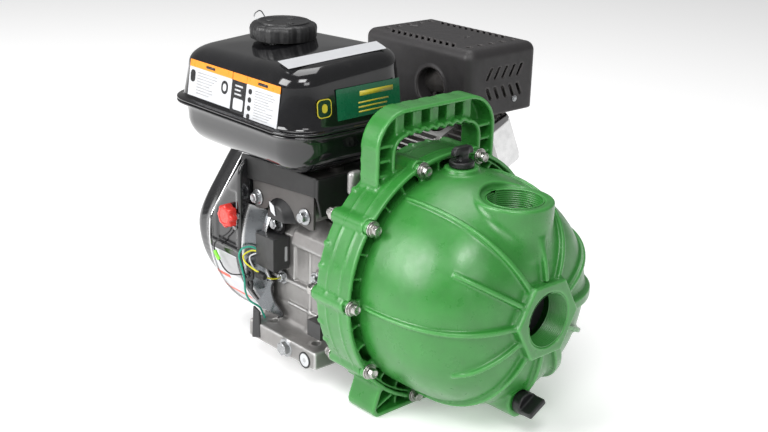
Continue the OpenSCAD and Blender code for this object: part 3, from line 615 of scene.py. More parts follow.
def thread(centre, direction, r, length):
    """The helical inner wall of a threaded port, seen from inside."""
    pitch, depth, n, per_turn = 2.25, 1.1, 56, 4
    u, v, d = frame_of(direction)
    rows = int(length / pitch * per_turn)
    heights = [0.0, 0.75, 1.0, 0.25]
    points, faces = [], []
    for k in range(rows + 1):
        for i, a in enumerate(circle(n)):
            along = min(max(k * pitch / per_turn - pitch * i / n, 0), length)
            phase = k % per_turn
            reach = r - 0.03 * (length - along) * 0.3 - depth * (1 - heights[phase])
            points.append(np.array(centre) - d * along + reach * (u * math.cos(a) + v * math.sin(a)))
    for k in range(rows):
        for i in range(n):
            j = i + 1
            if j < n:
                faces.append((k * n + i, (k + 1) * n + i, (k + 1) * n + j, k * n + j))
            elif k + per_turn < rows:
                faces.append((k * n + i, (k + 1) * n + i, (k + 1 + per_turn) * n, (k + per_turn) * n))
    return points, faces


def make_casing():
    field = Field([-134, -SUCTION_REACH, -134], [134, 46, 126], 1.6)
    field.add(dome(CASING_R, CASING_H, 2.0))
    field.add(rod("y", -2, 44, 118, (0, 0), 0.5), 2.5)
    for angle in (-33, -90, 26, 62, 178):
        field.add(rib(angle, 4.2, RIB - 1), 2.5)
    field.add(rib(-150, 4.2, RIB - 1, bend=-14), 2.5)
    field.add(rib(-58, 4.0, RIB - 1, start=96), 2.5)
    field.add(rib(-119, 4.0, RIB - 1, start=100), 2.5)
    field.add(rib(-1, 4.0, RIB, low_r=40, high_r=79), 2.5)
    for angle, width in ((89, 8), (150, 8), (118, 4)):
        field.add(rib(angle, width, RIB, start=60), 4)
    nose = rod("y", -SUCTION_REACH, -112, NOSE_APOTHEM, (0, 0), 1.6, 6, math.pi / 6)
    field.add(nose, 3)
    field.add(rod("y", -129, -108, 39, (0, 0), 2), 5)
    boss = rod("z", 60, DISCHARGE_Z, 39, (0, DISCHARGE_Y), 2.5)
    field.add(boss, 7)
    leaf = [(-36, -23), (20, -14), (36, -30), (36, -75), (-20, -75), (-12, -50)]
    field.add(prism("z", 80, 109.5, leaf, 1.5), 3.5)
    field.add(rod("z", 100, 125, 18, (0, COLLAR_Y), 1.5), 5)
    field.add(rod("y", -112, -70, 17, (0, DRAIN_Z), 1.5), 6)
    field.add(slab([-6, -111, -118], [6, -60, -96], 3), 5)
    # joint flange, its outer rim and the stiffening webs of the pocket between them
    field.add(rod("y", 38, 44, 131.1, (0, 0), 0.5))
    field.add(rod("y", 4, 41, 131.1, (0, 0), 0.8))
    pocket = bounded(lambda x, y, z: np.maximum(np.maximum(np.hypot(x, z) - 128.2, 118.3 - np.hypot(x, z)),
                                                np.maximum(y - 38, 3.0 - y)), [-129, 3, -129], [129, 38, 129])
    field.cut(pocket, 1.0)
    for angle in BOLT_ANGLES:
        for offset in (12, 24):
            field.add(about_y(angle + offset, slab([-1.3, 5, 112], [1.3, 40, 129.5], 0.6)), 2)
        field.add(about_y(angle, slab([-5, 0, 112], [5, 6, 131], 0.8)), 3)
        x, _, z = polar(angle, BOLT_R)
        field.add(rod("y", 0, 6, 8, (x, z), 0.8), 2)
        field.cut(rod("y", 6, 60, 8.7, (x, z), 0.3))
        field.cut(rod("y", -3, 12, 4.5, (x, z), 0.2))
    field.cut(rod("y", -SUCTION_REACH - 2, -SUCTION_REACH + PORT_DEPTH, PORT_R, (0, 0), 0.3), 0.8)
    field.cut(rod("y", -SUCTION_REACH, -60, 25, (0, 0), 0.3))
    field.cut(rod("z", DISCHARGE_Z - PORT_DEPTH, 120, PORT_R, (0, DISCHARGE_Y), 0.3), 0.8)
    field.cut(rod("z", DISCHARGE_Z, 132, 34, (0, DISCHARGE_Y), 2), 2)
    field.cut(rod("z", 20, DISCHARGE_Z, 25, (0, DISCHARGE_Y), 0.3))
    field.cut(rod("z", 90, 127, 10.7, (0, COLLAR_Y), 0.3), 0.6)
    field.cut(rod("y", -113, -70, 8.6, (0, DRAIN_Z), 0.3), 0.6)
    field.cut(rod("y", -140, -112, 13.5, (0, DRAIN_Z), 1), 1)

    inner_r, inner_h = CASING_R - 6, CASING_H - 6

    def shell_only(p):
        hollow = dome_distance(p[:, 0], p[:, 1], p[:, 2], inner_r, inner_h)
        behind = (p[:, 1] > 0) & (np.hypot(p[:, 0], p[:, 2]) < 111)
        return ~(((hollow < -1.0) & (p[:, 1] <= 0)) | behind)

    rows, around = 22, 72
    profile = [(112.0, 44.0), (112.0, 2.0)]
    for i in range(rows):
        t = math.pi / 2 * i / (rows - 1)
        profile.append((max(inner_r * math.cos(t) ** (2 / 3), 0.5), -inner_h * math.sin(t) ** (2 / 3)))
    points, faces = loft(turned(profile, (0, 0, 0), (0, 1, 0), around), caps=(False, False))
    points = np.array(points)
    open_port = ((np.hypot(points[:, 0], points[:, 2]) < 25) & (points[:, 1] < -60)) | \
        ((np.hypot(points[:, 0], points[:, 1] - DISCHARGE_Y) < 25) & (points[:, 2] > 0)) | \
        ((np.hypot(points[:, 0], points[:, 1] - COLLAR_Y) < 9) & (points[:, 2] > 0))
    faces = [f for f in faces if not any(open_port[i] for i in f)]
    inward = -points * [1, 0, 1]
    inward[:, 1] = np.where(points[:, 1] < 0, -points[:, 1], 0)
    inward /= np.maximum(np.linalg.norm(inward, axis=1), 1e-9)[:, None]
    lining = (points, faces, inward)
    moulded("casing", field, "pump_green", extra=[lining], keep=shell_only, stands_for=["pump_casing"])
    for name, centre, direction in (
            ("suction_thread", (0, -SUCTION_REACH + 0.8, 0), (0, -1, 0)),
            ("discharge_thread", (0, DISCHARGE_Y, DISCHARGE_Z - 0.8), (0, 0, 1))):
        mesh_object(name, *thread(centre, direction, PORT_R + 0.2, PORT_DEPTH - 1), "pump_green", sharp=70)


# ---------------------------------------------------------------- bracket

RING_R, RING_DEPTH = 136.0, 50.0
HANDLE_HALF, HANDLE_TOP = 84.0, 184.0
HANDLE_Y0, HANDLE_Y1 = 20.0, 46.0
HANDLE_ROUND = 38.0
FOOT_Z = -136.0


def arc(cx, cy, r, a0, a1, n=8):
    """Points of a flat arc from a0 to a1 degrees."""
    turns = [sin_cos(a0 + (a1 - a0) * i / n) for i in range(n + 1)]
    return [(cx + r * c, cy + r * s) for s, c in turns]


def make_bracket():
    bend_x, bend_z = HANDLE_HALF - HANDLE_ROUND, HANDLE_TOP - HANDLE_ROUND
    outer = [(HANDLE_HALF, 96)] + arc(bend_x, bend_z, HANDLE_ROUND, 0, 90, 12) \
        + arc(-bend_x, bend_z, HANDLE_ROUND, 90, 180, 12) + [(-HANDLE_HALF, 96)]
    half, top = HANDLE_HALF - 25, HANDLE_TOP - 29
    wave = [((half - 16) * (1 - i / 20), top + 1.7 * (1 - math.cos(i * math.pi / 20 * 7.5)))
            for i in range(1, 40)]
    inner = [(half, 60)] + arc(half - 16, top - 16, 16, 0, 90, 6) + wave \
        + arc(-half + 16, top - 16, 16, 90, 180, 6) + [(-half, 60)]
    field = Field([-137, -1, FOOT_Z], [137, 56, HANDLE_TOP], 1.6)
    hoop = bounded(lambda x, y, z: rounded(np.maximum(np.hypot(x, z) - RING_R, BOLT_R + 0.2 - np.hypot(x, z)),
                                           np.abs(y - RING_DEPTH / 2) - RING_DEPTH / 2, 0.8),
                   [-RING_R, 0, -RING_R], [RING_R, RING_DEPTH, RING_R])

    mid_y, half_y = (HANDLE_Y0 + HANDLE_Y1) / 2, (HANDLE_Y1 - HANDLE_Y0) / 2

    def handle_parts(x, z):
        return outline(np.array(outer), x, z), outline(np.array(inner), x, z)

    def handle(x, y, z):
        o, i = handle_parts(x, z)
        return rounded(np.maximum(o, -i), np.abs(y - mid_y) - half_y, 1.5)

    def channel(x, y, z):
        o, i = handle_parts(x, z)
        return rounded(np.maximum(o + 4.2, 4.2 - i), y - (HANDLE_Y1 - 4), 1.5)

    def inside_handle(shape):
        def fn(x, y, z):
            o, i = handle_parts(x, z)
            return np.maximum(shape[0](x, y, z), np.maximum(np.maximum(o, -i) + 0.8, y - HANDLE_Y1))
        return bounded(fn, shape[1], shape[2])

    handle_low, handle_high = [-HANDLE_HALF, HANDLE_Y0, 96], [HANDLE_HALF, HANDLE_Y1, HANDLE_TOP]
    field.add(bounded(handle, handle_low, handle_high))
    low, high = [-HANDLE_HALF, HANDLE_Y0 - 2, 94], [HANDLE_HALF, HANDLE_Y1 - 4, HANDLE_TOP]
    field.cut(bounded(channel, low, high), 1.0)
    for x in np.arange(-48, 49, 24):
        field.add(inside_handle(slab([x - 6, HANDLE_Y0 + 7, 150], [x + 6, HANDLE_Y1, HANDLE_TOP], 2)), 3)
    for side in (-1, 1):
        for z in (118, 133, 148):
            field.add(inside_handle(slab([side * 70 - 15, HANDLE_Y0 + 4, z - 1.6],
                                         [side * 70 + 15, HANDLE_Y1, z + 1.6], 0.8)), 2)
    field.add(rod("y", HANDLE_Y0 + 2, HANDLE_Y1, 6.5, (62, 117), 1.2), 3)
    # foot: a channel open to the front, with a long sloping rib and a short one at each side
    core, round_r = [(70, -75), (89, FOOT_Z + 10), (-89, FOOT_Z + 10), (-70, -75)], 10
    foot_depth = 41
    field.add(prism("y", 0, foot_depth, core, 1.5, grow=round_r), 3)
    field.cut(prism("y", -6, foot_depth - 5, core, 1.5, grow=round_r - 5), 1.5)
    for side in (-1, 1):
        field.add(slab([side * 62 - 1.6, 6, FOOT_Z + 2], [side * 62 + 1.6, foot_depth, -62], 0.8), 2)
        long_rib = [(side * 58, -112), (side * 92, -128), (side * 93, -131), (side * 58, -115.5)]
        field.add(prism("y", 5, foot_depth, long_rib, 0.8), 2)
    field.cut(rod("y", -10, 70, BOLT_R + 1, (0, 0), 0.3))
    field.add(hoop, 3.5)
    # raised bands, nubs along the rear edge and the bolt bosses with their ridges
    for y in (14, 34):
        field.add(bounded(lambda x, yy, z, y=y: rounded(np.maximum(np.hypot(x, z) - RING_R - 0.9,
                                                                   RING_R - 3 - np.hypot(x, z)),
                                                        np.abs(yy - y) - 1.0, 0.5),
                          [-RING_R - 1, y - 1, -RING_R - 1], [RING_R + 1, y + 1, RING_R + 1]), 1.2)
    for angle in BOLT_ANGLES:
        x, _, z = polar(angle, BOLT_R)
        field.add(rod("y", 6, RING_DEPTH + 4, 8.5, (x, z), 1.0), 3)
        nub = slab([-2.5, 43, BOLT_R], [2.5, RING_DEPTH + 1, RING_R + 1.2], 1)
        for offset in (-13, 0, 13):
            field.add(about_y(angle + offset, nub), 1.5)
    inside_ring = bounded(lambda x, y, z: np.maximum(np.hypot(x, z) - BOLT_R, y - 44),
                          [-132, -2, -132], [132, 44, 132])
    bosses = np.array([polar(a, BOLT_R) for a in BOLT_ANGLES])

    def clear(x, y, z):
        near = np.minimum.reduce([np.hypot(x - b[0], z - b[2]) for b in bosses]) - 8.5
        boss = np.maximum(near, 6 - y)
        return np.maximum(inside_ring[0](x, y, z), -boss)
    field.cut(bounded(clear, inside_ring[1], inside_ring[2]))
    for angle in BOLT_ANGLES:
        x, _, z = polar(angle, BOLT_R)
        field.cut(rod("y", -3, 6, 8.2, (x, z), 0.2))
        field.cut(rod("y", -3, 70, 4.6, (x, z), 0.2))
    plate = turned([(18, 44), (131.5, 44), (134.5, 44.5), (134.5, RING_DEPTH - 1), (133, RING_DEPTH),
                    (62, RING_DEPTH), (60, RING_DEPTH + 4), (18, RING_DEPTH + 4), (18, 44)],
                   (0, 0, 0), (0, 1, 0), 96)
    points, faces = loft(plate, caps=(False, False))
    points = np.array(points)
    flat = np.zeros_like(points)
    flat[:, 1] = np.where(points[:, 1] > 47, 1, -1)
    moulded("bracket", field, "pump_green", extra=[(points, faces, flat)], stands_for=["pump_bracket"])


def make_casing_bolts():
    parts = []
    for n, angle in enumerate(BOLT_ANGLES):
        centre = polar(angle, BOLT_R, -1.6)
        parts.append(loft(bolt_rings(centre, (0, -1, 0), 9.6, 7.4, 7.2, turn=0.35 * n)))
        parts.append(loft(turned([(4, -0.5), (4, 67.6)], centre, (0, 1, 0), 16)))
    mesh_object("flange_bolts", *joined(parts), "stainless", stands_for=["casing_bolts"], sharp=35)


def wing_plug(name, node, centre, body, upright):
    """A round plug under a rounded wing; centre is the middle of the plug's seat."""
    low, high = cad_box(node)
    field = Field(low - 3, high + 3, 0.7)
    x, y, z = centre
    if upright:
        field.add(rod("z", low[2], z + 2, 10.3, (x, y), 0.4))
        field.add(rod("z", z, z + 6.5, 13, (x, y), 1.5), 1)
        wing = arc(x - 7, z + 15, 6.5, 90, 200) + arc(x + 7, z + 15, 6.5, -20, 90)
        field.add(prism("y", y - 3.6, y + 3.6, wing, 1.5), 3)
        field.add(slab([x - 6, y - 4.5, z + 4], [x + 6, y + 4.5, z + 19], 2.5), 3)
    else:
        field.add(rod("y", y - 2, high[1], 8.3, (x, z), 0.4))
        field.add(rod("y", y - 11, y, 12.5, (x, z), 1.2), 1)
        field.add(about_y(62, slab([-3.4, low[1], -12.5], [3.4, y - 8, 12.5], 1.8), (x, 0, z)), 2.5)
    moulded(name, field, "black_moulding", body=body, stands_for=[node])


make_casing()
make_bracket()
make_casing_bolts()
wing_plug("priming_wing_plug", "priming_plug", (0.0, COLLAR_Y, 125.0), "priming_cap", True)
wing_plug("drain_wing_plug", "drain_plug", (0.0, -112.0, DRAIN_Z), "drain_cap", False)


# ---------------------------------------------------------------- fuel tank

TANK_FLANGE, CAP_GAP = 7.0, 4.0
shell_low, shell_high = cad_box("tank_shell")
TANK_LOW, TANK_HIGH = shell_low[:2] + TANK_FLANGE, shell_high[:2] - TANK_FLANGE
TANK_SEAM = shell_low[2]
TANK_TOP = cad_box("fuel_cap")[0][2] - CAP_GAP
TANK_FLOOR = cad_box("tank_pan")[0][2]
TANK_CORNER = 36.0
TANK_DRAFT = 0.14
WALL_FOOT = 8.0      # height above the seam at which the upper wall starts
SHOULDER, SHOULDER_IN, CROWN = 21.0, 30.0, 2.5
CAP_X, CAP_Y = -50.0, 215.0


def rect_ring(low, high, corner, z):
    """A rounded rectangle at height z, always with the same number of points."""
    n, along = 9, 8
    corners = ((high[0], high[1], 0), (low[0], high[1], 90), (low[0], low[1], 180), (high[0], low[1], 270))
    arcs = []
    for x, y, a in corners:
        cx = x - math.copysign(corner, x - (low[0] + high[0]) / 2)
        cy = y - math.copysign(corner, y - (low[1] + high[1]) / 2)
        arcs.append([np.array([px, py, z]) for px, py in arc(cx, cy, corner, a, a + 90, n)])
    out = []
    for k, ring in enumerate(arcs):
        start, end = ring[-1], arcs[(k + 1) % 4][0]
        out += ring + [start + (end - start) * i / along for i in range(1, along)]
    return out


def tank_ring(z, inset):
    return rect_ring(TANK_LOW + inset, TANK_HIGH - inset, max(TANK_CORNER - inset * 0.55, 6), z)


def tank_rise(x, y):
    """How far the sloping top stands above or below the nominal top."""
    return 0.075 * (x - TANK_LOW[0]) + 0.04 * (TANK_HIGH[1] - y) - 6.5


def sloped(ring):
    return [p + [0, 0, tank_rise(p[0], p[1])] for p in ring]


def make_tank():
    wall_in = TANK_DRAFT * (TANK_TOP - CROWN - SHOULDER - TANK_SEAM - WALL_FOOT)
    quarter = [math.pi / 2 * i / 12 for i in range(13)]
    lip = ((0.4, -6.2), (1.0, -7.0), (2.4, -7.0))
    top = [tank_ring(TANK_SEAM + z, inset)
           for z, inset in lip + ((3.2, -6.0), (3.6, -2.0), (5.0, -0.6), (WALL_FOOT, 0.0))]
    top += [sloped(tank_ring(TANK_TOP - CROWN - SHOULDER * (1 - math.sin(t)),
                             wall_in + (SHOULDER_IN - wall_in) * (1 - math.cos(t)) ** 1.25)) for t in quarter]
    top += [sloped(tank_ring(TANK_TOP + z, inset)) for z, inset in ((-1.6, 42), (-0.8, 56), (-0.6, 70))]
    mesh_object("tank_upper", *loft(top, caps=(False, True)), "tank_black", stands_for=["tank_shell"], sharp=60)
    neck = [(27, -0.7), (26, 1.5), (24, 3.2), (24, 7.6), (21, 7.8), (20, 3.0)]
    neck = turned(neck, (CAP_X, CAP_Y, TANK_TOP - 3), (0, 0, 1), 40)
    mesh_object("filler_neck", *loft(neck, caps=(False, False)), "tank_black", sharp=40)
    low = [tank_ring(TANK_SEAM - z, inset)
           for z, inset in lip + ((3.2, -6.0), (3.8, -1.0), (6.0, 1.5), (12, 3.0))]
    low += [tank_ring(TANK_FLOOR + 30 * (1 - math.sin(t)), 3.5 + 30 * (1 - math.cos(t))) for t in quarter]
    low.append(tank_ring(TANK_FLOOR - 0.1, 60))
    low = [list(reversed(r)) for r in low]
    mesh_object("tank_lower", *loft(low, caps=(False, True)), "tank_black", stands_for=["tank_pan"], sharp=60)


def make_fuel_cap():
    base, lobes = TANK_TOP + CAP_GAP, 12

    def ring(r, z, depth):
        out = []
        for a in circle(192):
            lobe = 0.5 + 0.5 * math.cos(a * lobes)
            reach = r - depth * (1 - lobe ** 0.35) + depth * 0.09 * math.cos(a * lobes * 4)
            out.append(np.array([CAP_X + reach * math.cos(a), CAP_Y + reach * math.sin(a), z]))
        return out

    profile = ((33.0, 0.2, 1.0), (35.4, 1.0, 1.7), (36.2, 3.0, 2.0), (36.8, 12.0, 2.0), (36.2, 14.8, 1.8),
               (34.2, 16.9, 1.2), (30.5, 17.8, 0.8), (29.0, 18.2, 0), (28.4, 19.6, 0), (27.0, 20.0, 0),
               (25.0, 19.7, 0), (24.0, 19.1, 0), (8.0, 19.3, 0))
    rings = [ring(r, base + z, depth) for r, z, depth in profile]
    parts = [loft(rings, caps=(True, True))]
    for k in range(3):
        s, c = sin_cos(120 * k + 20)
        c = np.array([CAP_X + 15 * c, CAP_Y + 15 * s, base + 19.0])
        parts.append(loft(turned([(4.6, 0), (4.6, 0.5), (3.9, 0.9), (1, 0.9)], c, (0, 0, 1), 16)))
    mesh_object("fuel_cap_lobed", *joined(parts), "black_moulding", body="fuel_filler_cap",
                stands_for=["fuel_cap"], sharp=42)


def leaning(points, lean):
    """Tips points drawn for an upright wall over with the draft of the tank's sides."""
    points = np.array(points, float)
    return points + np.outer(points[:, 2] - TANK_SEAM - WALL_FOOT, (*lean, 0.0))


def label(name, corner, across, down, material, lift=0.25, r=1.5, lean=(0.0, 0.0)):
    """A flat sticker with rounded corners from one corner point and its two sides."""
    corner, across, down = (np.array(v, float) for v in (corner, across, down))
    wide, high = np.linalg.norm(across), np.linalg.norm(down)
    u, v = across / wide, down / high
    normal = np.cross(v, u)
    outline_2d = arc(wide - r, high - r, r, 0, 90, 4) + arc(r, high - r, r, 90, 180, 4) \
        + arc(r, r, r, 180, 270, 4) + arc(wide - r, r, r, 270, 360, 4)
    rings = [[corner + u * a + v * b + normal * h for a, b in outline_2d] for h in (-0.15, lift)]
    points, faces = loft(rings)
    mesh_object(name, leaning(points, lean), faces, material, sharp=30)


def bars(name, corner, across, down, rows, material, seed, share=(0.55, 0.95), lift=0.32,
         weight=0.42, lean=(0.0, 0.0)):
    """Rows of thin bars that stand for small print."""
    rng = np.random.default_rng(seed)
    corner, across, down = (np.array(v, float) for v in (corner, across, down))
    normal = np.cross(down, across)
    normal = normal / np.linalg.norm(normal) * lift
    parts = []
    for k in range(rows):
        top, deep = (k + 0.5 - weight / 2) / rows, (k + 0.5 + weight / 2) / rows
        wide = rng.uniform(*share)
        quad = [corner + across * a + down * b + normal
                for a, b in ((0, top), (wide, top), (wide, deep), (0, deep))]
        back = [p - normal * 0.6 for p in quad]
        parts.append(loft([back, quad]))
    points, faces = joined(parts)
    mesh_object(name, leaning(points, lean), faces, material)


def make_tank_labels():
    x, top, head = TANK_LOW[0] - 0.3, 201.5, 7.5
    side = dict(lean=(TANK_DRAFT, 0.0))
    spans = (("left", 269, 191, 163), ("middle", 190, 166, 161), ("right", 165.5, 110, 155))
    for k, (name, y0, y1, low) in enumerate(spans):
        wide, dark = [0, y1 - y0, 0], name == "middle"
        label(f"caution_{name}_head", [x, y0, top], wide, [0, 0, -head], "label_orange", r=0.6, **side)
        label(f"caution_{name}_panel", [x, y0, top - head], wide, [0, 0, low - top + head],
              "label_black" if dark else "label_white", r=0.6, **side)
        if dark:
            label("caution_middle_box", [x, y0 - 4, top - head - 18], [0, -17, 0], [0, 0, -12], "label_white",
                  lift=0.34, r=2.0, **side)
            bars("caution_middle_print", [x, y0 - 5, top - head - 3], [0, -15, 0], [0, 0, -13], 3, "label_white", 9,
                 **side)
            continue
        bars(f"caution_{name}_word", [x, (y0 + y1) / 2 + 9, top - 2.2], [0, -18, 0], [0, 0, -3.2], 1, "label_black",
             3, (0.9, 1.0), weight=0.9, **side)
        bars(f"caution_{name}_print", [x, y0 - 15, top - head - 3], [0, y1 - y0 + (36 if k == 0 else 19), 0],
             [0, 0, low - top + head + 6], 8 if k == 0 else 12, "label_grey", 5 + k, weight=0.28, **side)
        signs = [(y0 - 2.5, top - head - 3, 9, 13)] if k == 0 else \
            [(y0 - 4, top - head - 4 - 8.5 * i, 6, 5.5) for i in range(4)]
        for i, (y, z, w, h) in enumerate(signs):
            label(f"caution_{name}_sign_{i}", [x, y, z], [0, -w, 0], [0, 0, -h], "label_black", lift=0.34,
                  r=w * 0.42, **side)
    label("caution_round_sign", [x, 209, 190], [0, -12, 0], [0, 0, -14], "label_black", lift=0.35, r=5.8, **side)
    label("caution_round_inner", [x, 206, 187], [0, -6, 0], [0, 0, -8], "label_white", lift=0.45, r=2.9, **side)
    y, front = TANK_LOW[1] - 0.3, dict(lean=(0.0, 0.09))
    label("name_panel", [-86, y, 197], [86, 0, 1], [1, 0, -32], "label_green", r=0.6, **front)
    bars("name_panel_word", [-55, y, 193], [46, 0, 0.5], [0, 0, -8], 1, "label_gold", 21, (0.98, 1.0),
         weight=0.62, **front)
    bars("name_panel_print", [-57, y, 182], [49, 0, 0.5], [0, 0, -14], 3, "label_gold", 22, (0.75, 1.0),
         weight=0.35, **front)
    label("badge_rim", [-111, y, 190], [18.5, 0, 0], [0, 0, -19], "label_gold", r=5.0, **front)
    label("badge_field", [-110, y, 189], [16.5, 0, 0], [0, 0, -17], "label_dark_green", lift=0.33, r=4.5, **front)
    label("badge_leaf", [-105, y, 185], [7, 0, 0], [0, 0, -9], "label_gold", lift=0.4, r=3.4, **front)
    # white strip that follows the shoulder of the top
    left, right = np.array([[-126.0, 108.0], [-117.0, 138.0]]), np.array([[-6.0, 97.0], [4.0, 124.0]])
    sheet = []
    for t in np.linspace(0, 1, 16):
        for k in np.linspace(0, 1, 6):
            px, py = (left[0] * (1 - k) + left[1] * k) * (1 - t) + (right[0] * (1 - k) + right[1] * k) * t
            depth = py - TANK_LOW[1]
            turn = math.acos(1 - min(depth / SHOULDER_IN, 1) ** 0.8)
            drop = CROWN + SHOULDER * (1 - math.sin(turn)) - 0.06 * max(depth - SHOULDER_IN, 0)
            sheet.append(np.array([px, py, TANK_TOP - drop + tank_rise(px, py) + 0.35]))
    cells = [(i * 6 + j + 6, i * 6 + j + 7, i * 6 + j + 1, i * 6 + j) for i in range(15) for j in range(5)]
    mesh_object("top_strip", sheet, cells, "label_white", sharp=60)


# ---------------------------------------------------------------- exhaust guard

GUARD_LOW, GUARD_HIGH = np.array([110.0, 86.0, 132.0]), np.array([222.0, 264.0, 210.0])


def make_guard():
    field = Field(GUARD_LOW, GUARD_HIGH, 1.3)
    wall, edge = 2.6, 11.0
    base = [GUARD_LOW[0], GUARD_LOW[1], GUARD_LOW[2] - 14]
    field.add(slab(base, GUARD_HIGH, edge))
    inner_low = GUARD_LOW + wall
    inner_low[2] = GUARD_LOW[2] - 20
    hollow = slab(inner_low, GUARD_HIGH - wall, edge - wall)
    x_mid, y_mid = (GUARD_LOW[0] + GUARD_HIGH[0]) / 2, (GUARD_LOW[1] + GUARD_HIGH[1]) / 2
    # the exhaust side has a round dished recess with a raised rim
    recess_y, recess_z = 146.0, 160.0
    field.add(rod("x", GUARD_LOW[0] - 1.5, GUARD_LOW[0] + 8, 25, (recess_y, recess_z), 2), 3)
    field.cut(rod("x", GUARD_LOW[0] - 6, GUARD_LOW[0] + 22, 21.5, (recess_y, recess_z), 2), 2)
    cup = rod("x", GUARD_LOW[0], GUARD_LOW[0] + 26, 25, (recess_y, recess_z), 3)

    def hollow_round_cup(x, y, z):
        return np.maximum(hollow[0](x, y, z), -cup[0](x, y, z))
    field.cut(bounded(hollow_round_cup, hollow[1], hollow[2]))
    for i in range(5):
        for y in (GUARD_LOW[1] + 22, GUARD_HIGH[1] - 20):
            field.cut(rod("z", 200, 214, 3.3, (x_mid - 36 + 18 * i, y), 0.2), 0.6)
    for i in range(11):
        y = GUARD_LOW[1] + 42 + 10 * i
        for side in (-1, 1):
            x = x_mid + side * 41
            points = [(x - 6.5, y - 5), (x - 5.5, y - 6.8), (x + 6.5, y + 5), (x + 5.5, y + 6.8)]
            field.cut(prism("z", 203, 214, points, 0.2, grow=0.4), 0.5)
    for y, turn in ((y_mid - 30, 1), (y_mid + 62, -1)):
        mark = [(x_mid - 9, y), (x_mid, y + turn * 9), (x_mid + 9, y), (x_mid + 4, y), (x_mid, y + turn * 3.5),
                (x_mid - 4, y)]
        field.add(prism("z", 207, GUARD_HIGH[2] + 1.3, mark, 0.6), 1.5)
    for i in range(5):
        x = 143.0 + 12.5 * i
        upper = [(x - 4.6, 174.5), (x - 1.8, 174.5), (x + 5.0, 186.5), (x + 2.2, 186.5)]
        lower = [(x - 4.6, 164), (x - 1.8, 164), (x + 5.0, 151), (x + 2.2, 151)]
        for points in (upper, lower):
            field.cut(prism("y", 80, 96, points, 0.2, grow=0.5), 0.6)
    field.cut(slab([0, 0, 60], [400, 400, GUARD_LOW[2]], 0.1))
    moulded("exhaust_guard", field, "guard_charcoal", stands_for=["muffler_guard"])
    screw = bolt_rings((186, GUARD_LOW[1] + 0.4, 147), (0, -1, 0), 5.0, 2.6, 3.8, n=24)
    mesh_object("guard_screw", *loft(screw), "zinc_steel", sharp=35)


# ---------------------------------------------------------------- fan housing

HOUSING_R = 118.5
HOUSING_Y0, HOUSING_Y1, HOUSING_TOP, HOUSING_LEFT = 206.0, 262.0, 101.0, -118.0
CHORD_SIDE, CHORD_UP, CHORD_AT = -0.817, 0.578, 107.5      # the flat corner above the switch


def housing_outline(r, top, left):
    """The fan housing seen along the shaft: round below, with a flat switch side and a flat top."""
    turns = [sin_cos(a) for a in (0, 30, 60, 90)]
    points = [(left, 0), (left, top - 16)] + [(left + 14 - 14 * c, top - 14 + 14 * s) for s, c in turns]
    flat = math.sqrt(max(r * r - top * top, 0))
    start = math.degrees(math.atan2(flat, top))
    return points + [(r * s, r * c) for s, c in map(sin_cos, np.linspace(start, 262, 60))]


def make_housing():
    y0, y1, top, left = HOUSING_Y0, HOUSING_Y1, HOUSING_TOP, HOUSING_LEFT
    field = Field([-123, y0, -121], [121, y1 + 1, top + 1], 1.7)
    corner = np.array([left, y0, 92.0])
    outward = np.array([-0.594, 0.623, 0.506])

    def slanted(grow):
        # the rear upper corner of the switch side is cut away by a sloping plane
        plane_at = (outward * (corner - outward * grow)).sum()

        def fn(x, y, z):
            flat = outline(np.array(housing_outline(HOUSING_R - grow, top - grow, left + grow)), x, z)
            slope = x * outward[0] + y * outward[1] + z * outward[2] - plane_at
            return rounded(flat, slope, 6.0)
        return fn

    outer, inner = slanted(0.0), slanted(3.0)
    low, high = [left - 2, y0, -HOUSING_R], [HOUSING_R, y1, top]

    def solid(x, y, z):
        return rounded(outer(x, y, z), np.abs(y - (y0 + y1) / 2) - (y1 - y0) / 2, 3.0)

    def hollow(x, y, z):
        return np.maximum(inner(x, y, z), y0 + 3 - y)
    field.add(bounded(solid, low, high))
    # a recessed switch panel with a step round it, and a moulded ledge below
    field.cut(slab([left - 4, y0 + 5, -2], [left + 1.2, y0 + 44, 62], 3), 1.5)
    field.add(slab([left - 1.6, y0 + 2, -9], [left + 3, y1 - 2, -5], 1.2), 2)
    field.cut(bounded(hollow, low, [HOUSING_R, y1 + 4, top]))
    field.cut(rod("y", y0 - 4, y0 + 8, 88, (0, 0), 0.5), 1)
    field.cut(slab([88, y0 - 4, 10], [140, y1 - 30, 80], 4))
    moulded("fan_housing", field, "shroud_black", stands_for=["fan_shroud"])
    # the seam between housing and cover is a bright steel bead whose brightness stands for the highlight along the
    # seam
    rings = []
    for a in np.linspace(-180, 180, 121):
        reach = HOUSING_R + 1.0
        s, c = sin_cos(a)
        chord = CHORD_SIDE * s + CHORD_UP * c
        reach = min(reach, (top + 1) / max(c, 0.01), (CHORD_AT + 1) / max(chord, 0.01))
        base = np.array([reach * s, 0, reach * c])
        out = base / np.linalg.norm(base)
        rings.append([base + np.array([0, y1 - 0.4, 0]) + out * 1.3 * math.cos(t)
                      + np.array([0, 1.5 * math.sin(t), 0]) for t in (0.8, 0, -0.8, -2.2, 2.2)])
    mesh_object("housing_seam", *loft(rings, caps=(False, False)), "bright_steel", sharp=60)


def curved_label(name, a0, a1, y0, y1, lift, material):
    """A sticker wrapped round the housing from one angle to another."""
    r, rings = HOUSING_R + lift, []
    for s, c in map(sin_cos, np.linspace(a0, a1, 24)):
        rings.append([np.array([reach * s, y, reach * c])
                      for reach, y in ((r - 0.3, y0), (r, y0), (r, y1), (r - 0.3, y1))])
    mesh_object(name, *loft(rings), material, sharp=40)


def make_housing_labels():
    curved_label("housing_label", -98, -142, 214, 259.5, 0.35, "label_white")
    curved_label("housing_label_grey", -98.5, -112, 214.5, 248, 0.47, "label_grey")
    curved_label("housing_label_stripe", -114, -116.5, 240, 259, 0.49, "label_red")
    curved_label("housing_label_stripe_low", -127, -129.5, 218, 259, 0.49, "label_red")


COVER_BOLTS = (62, 140, 215)


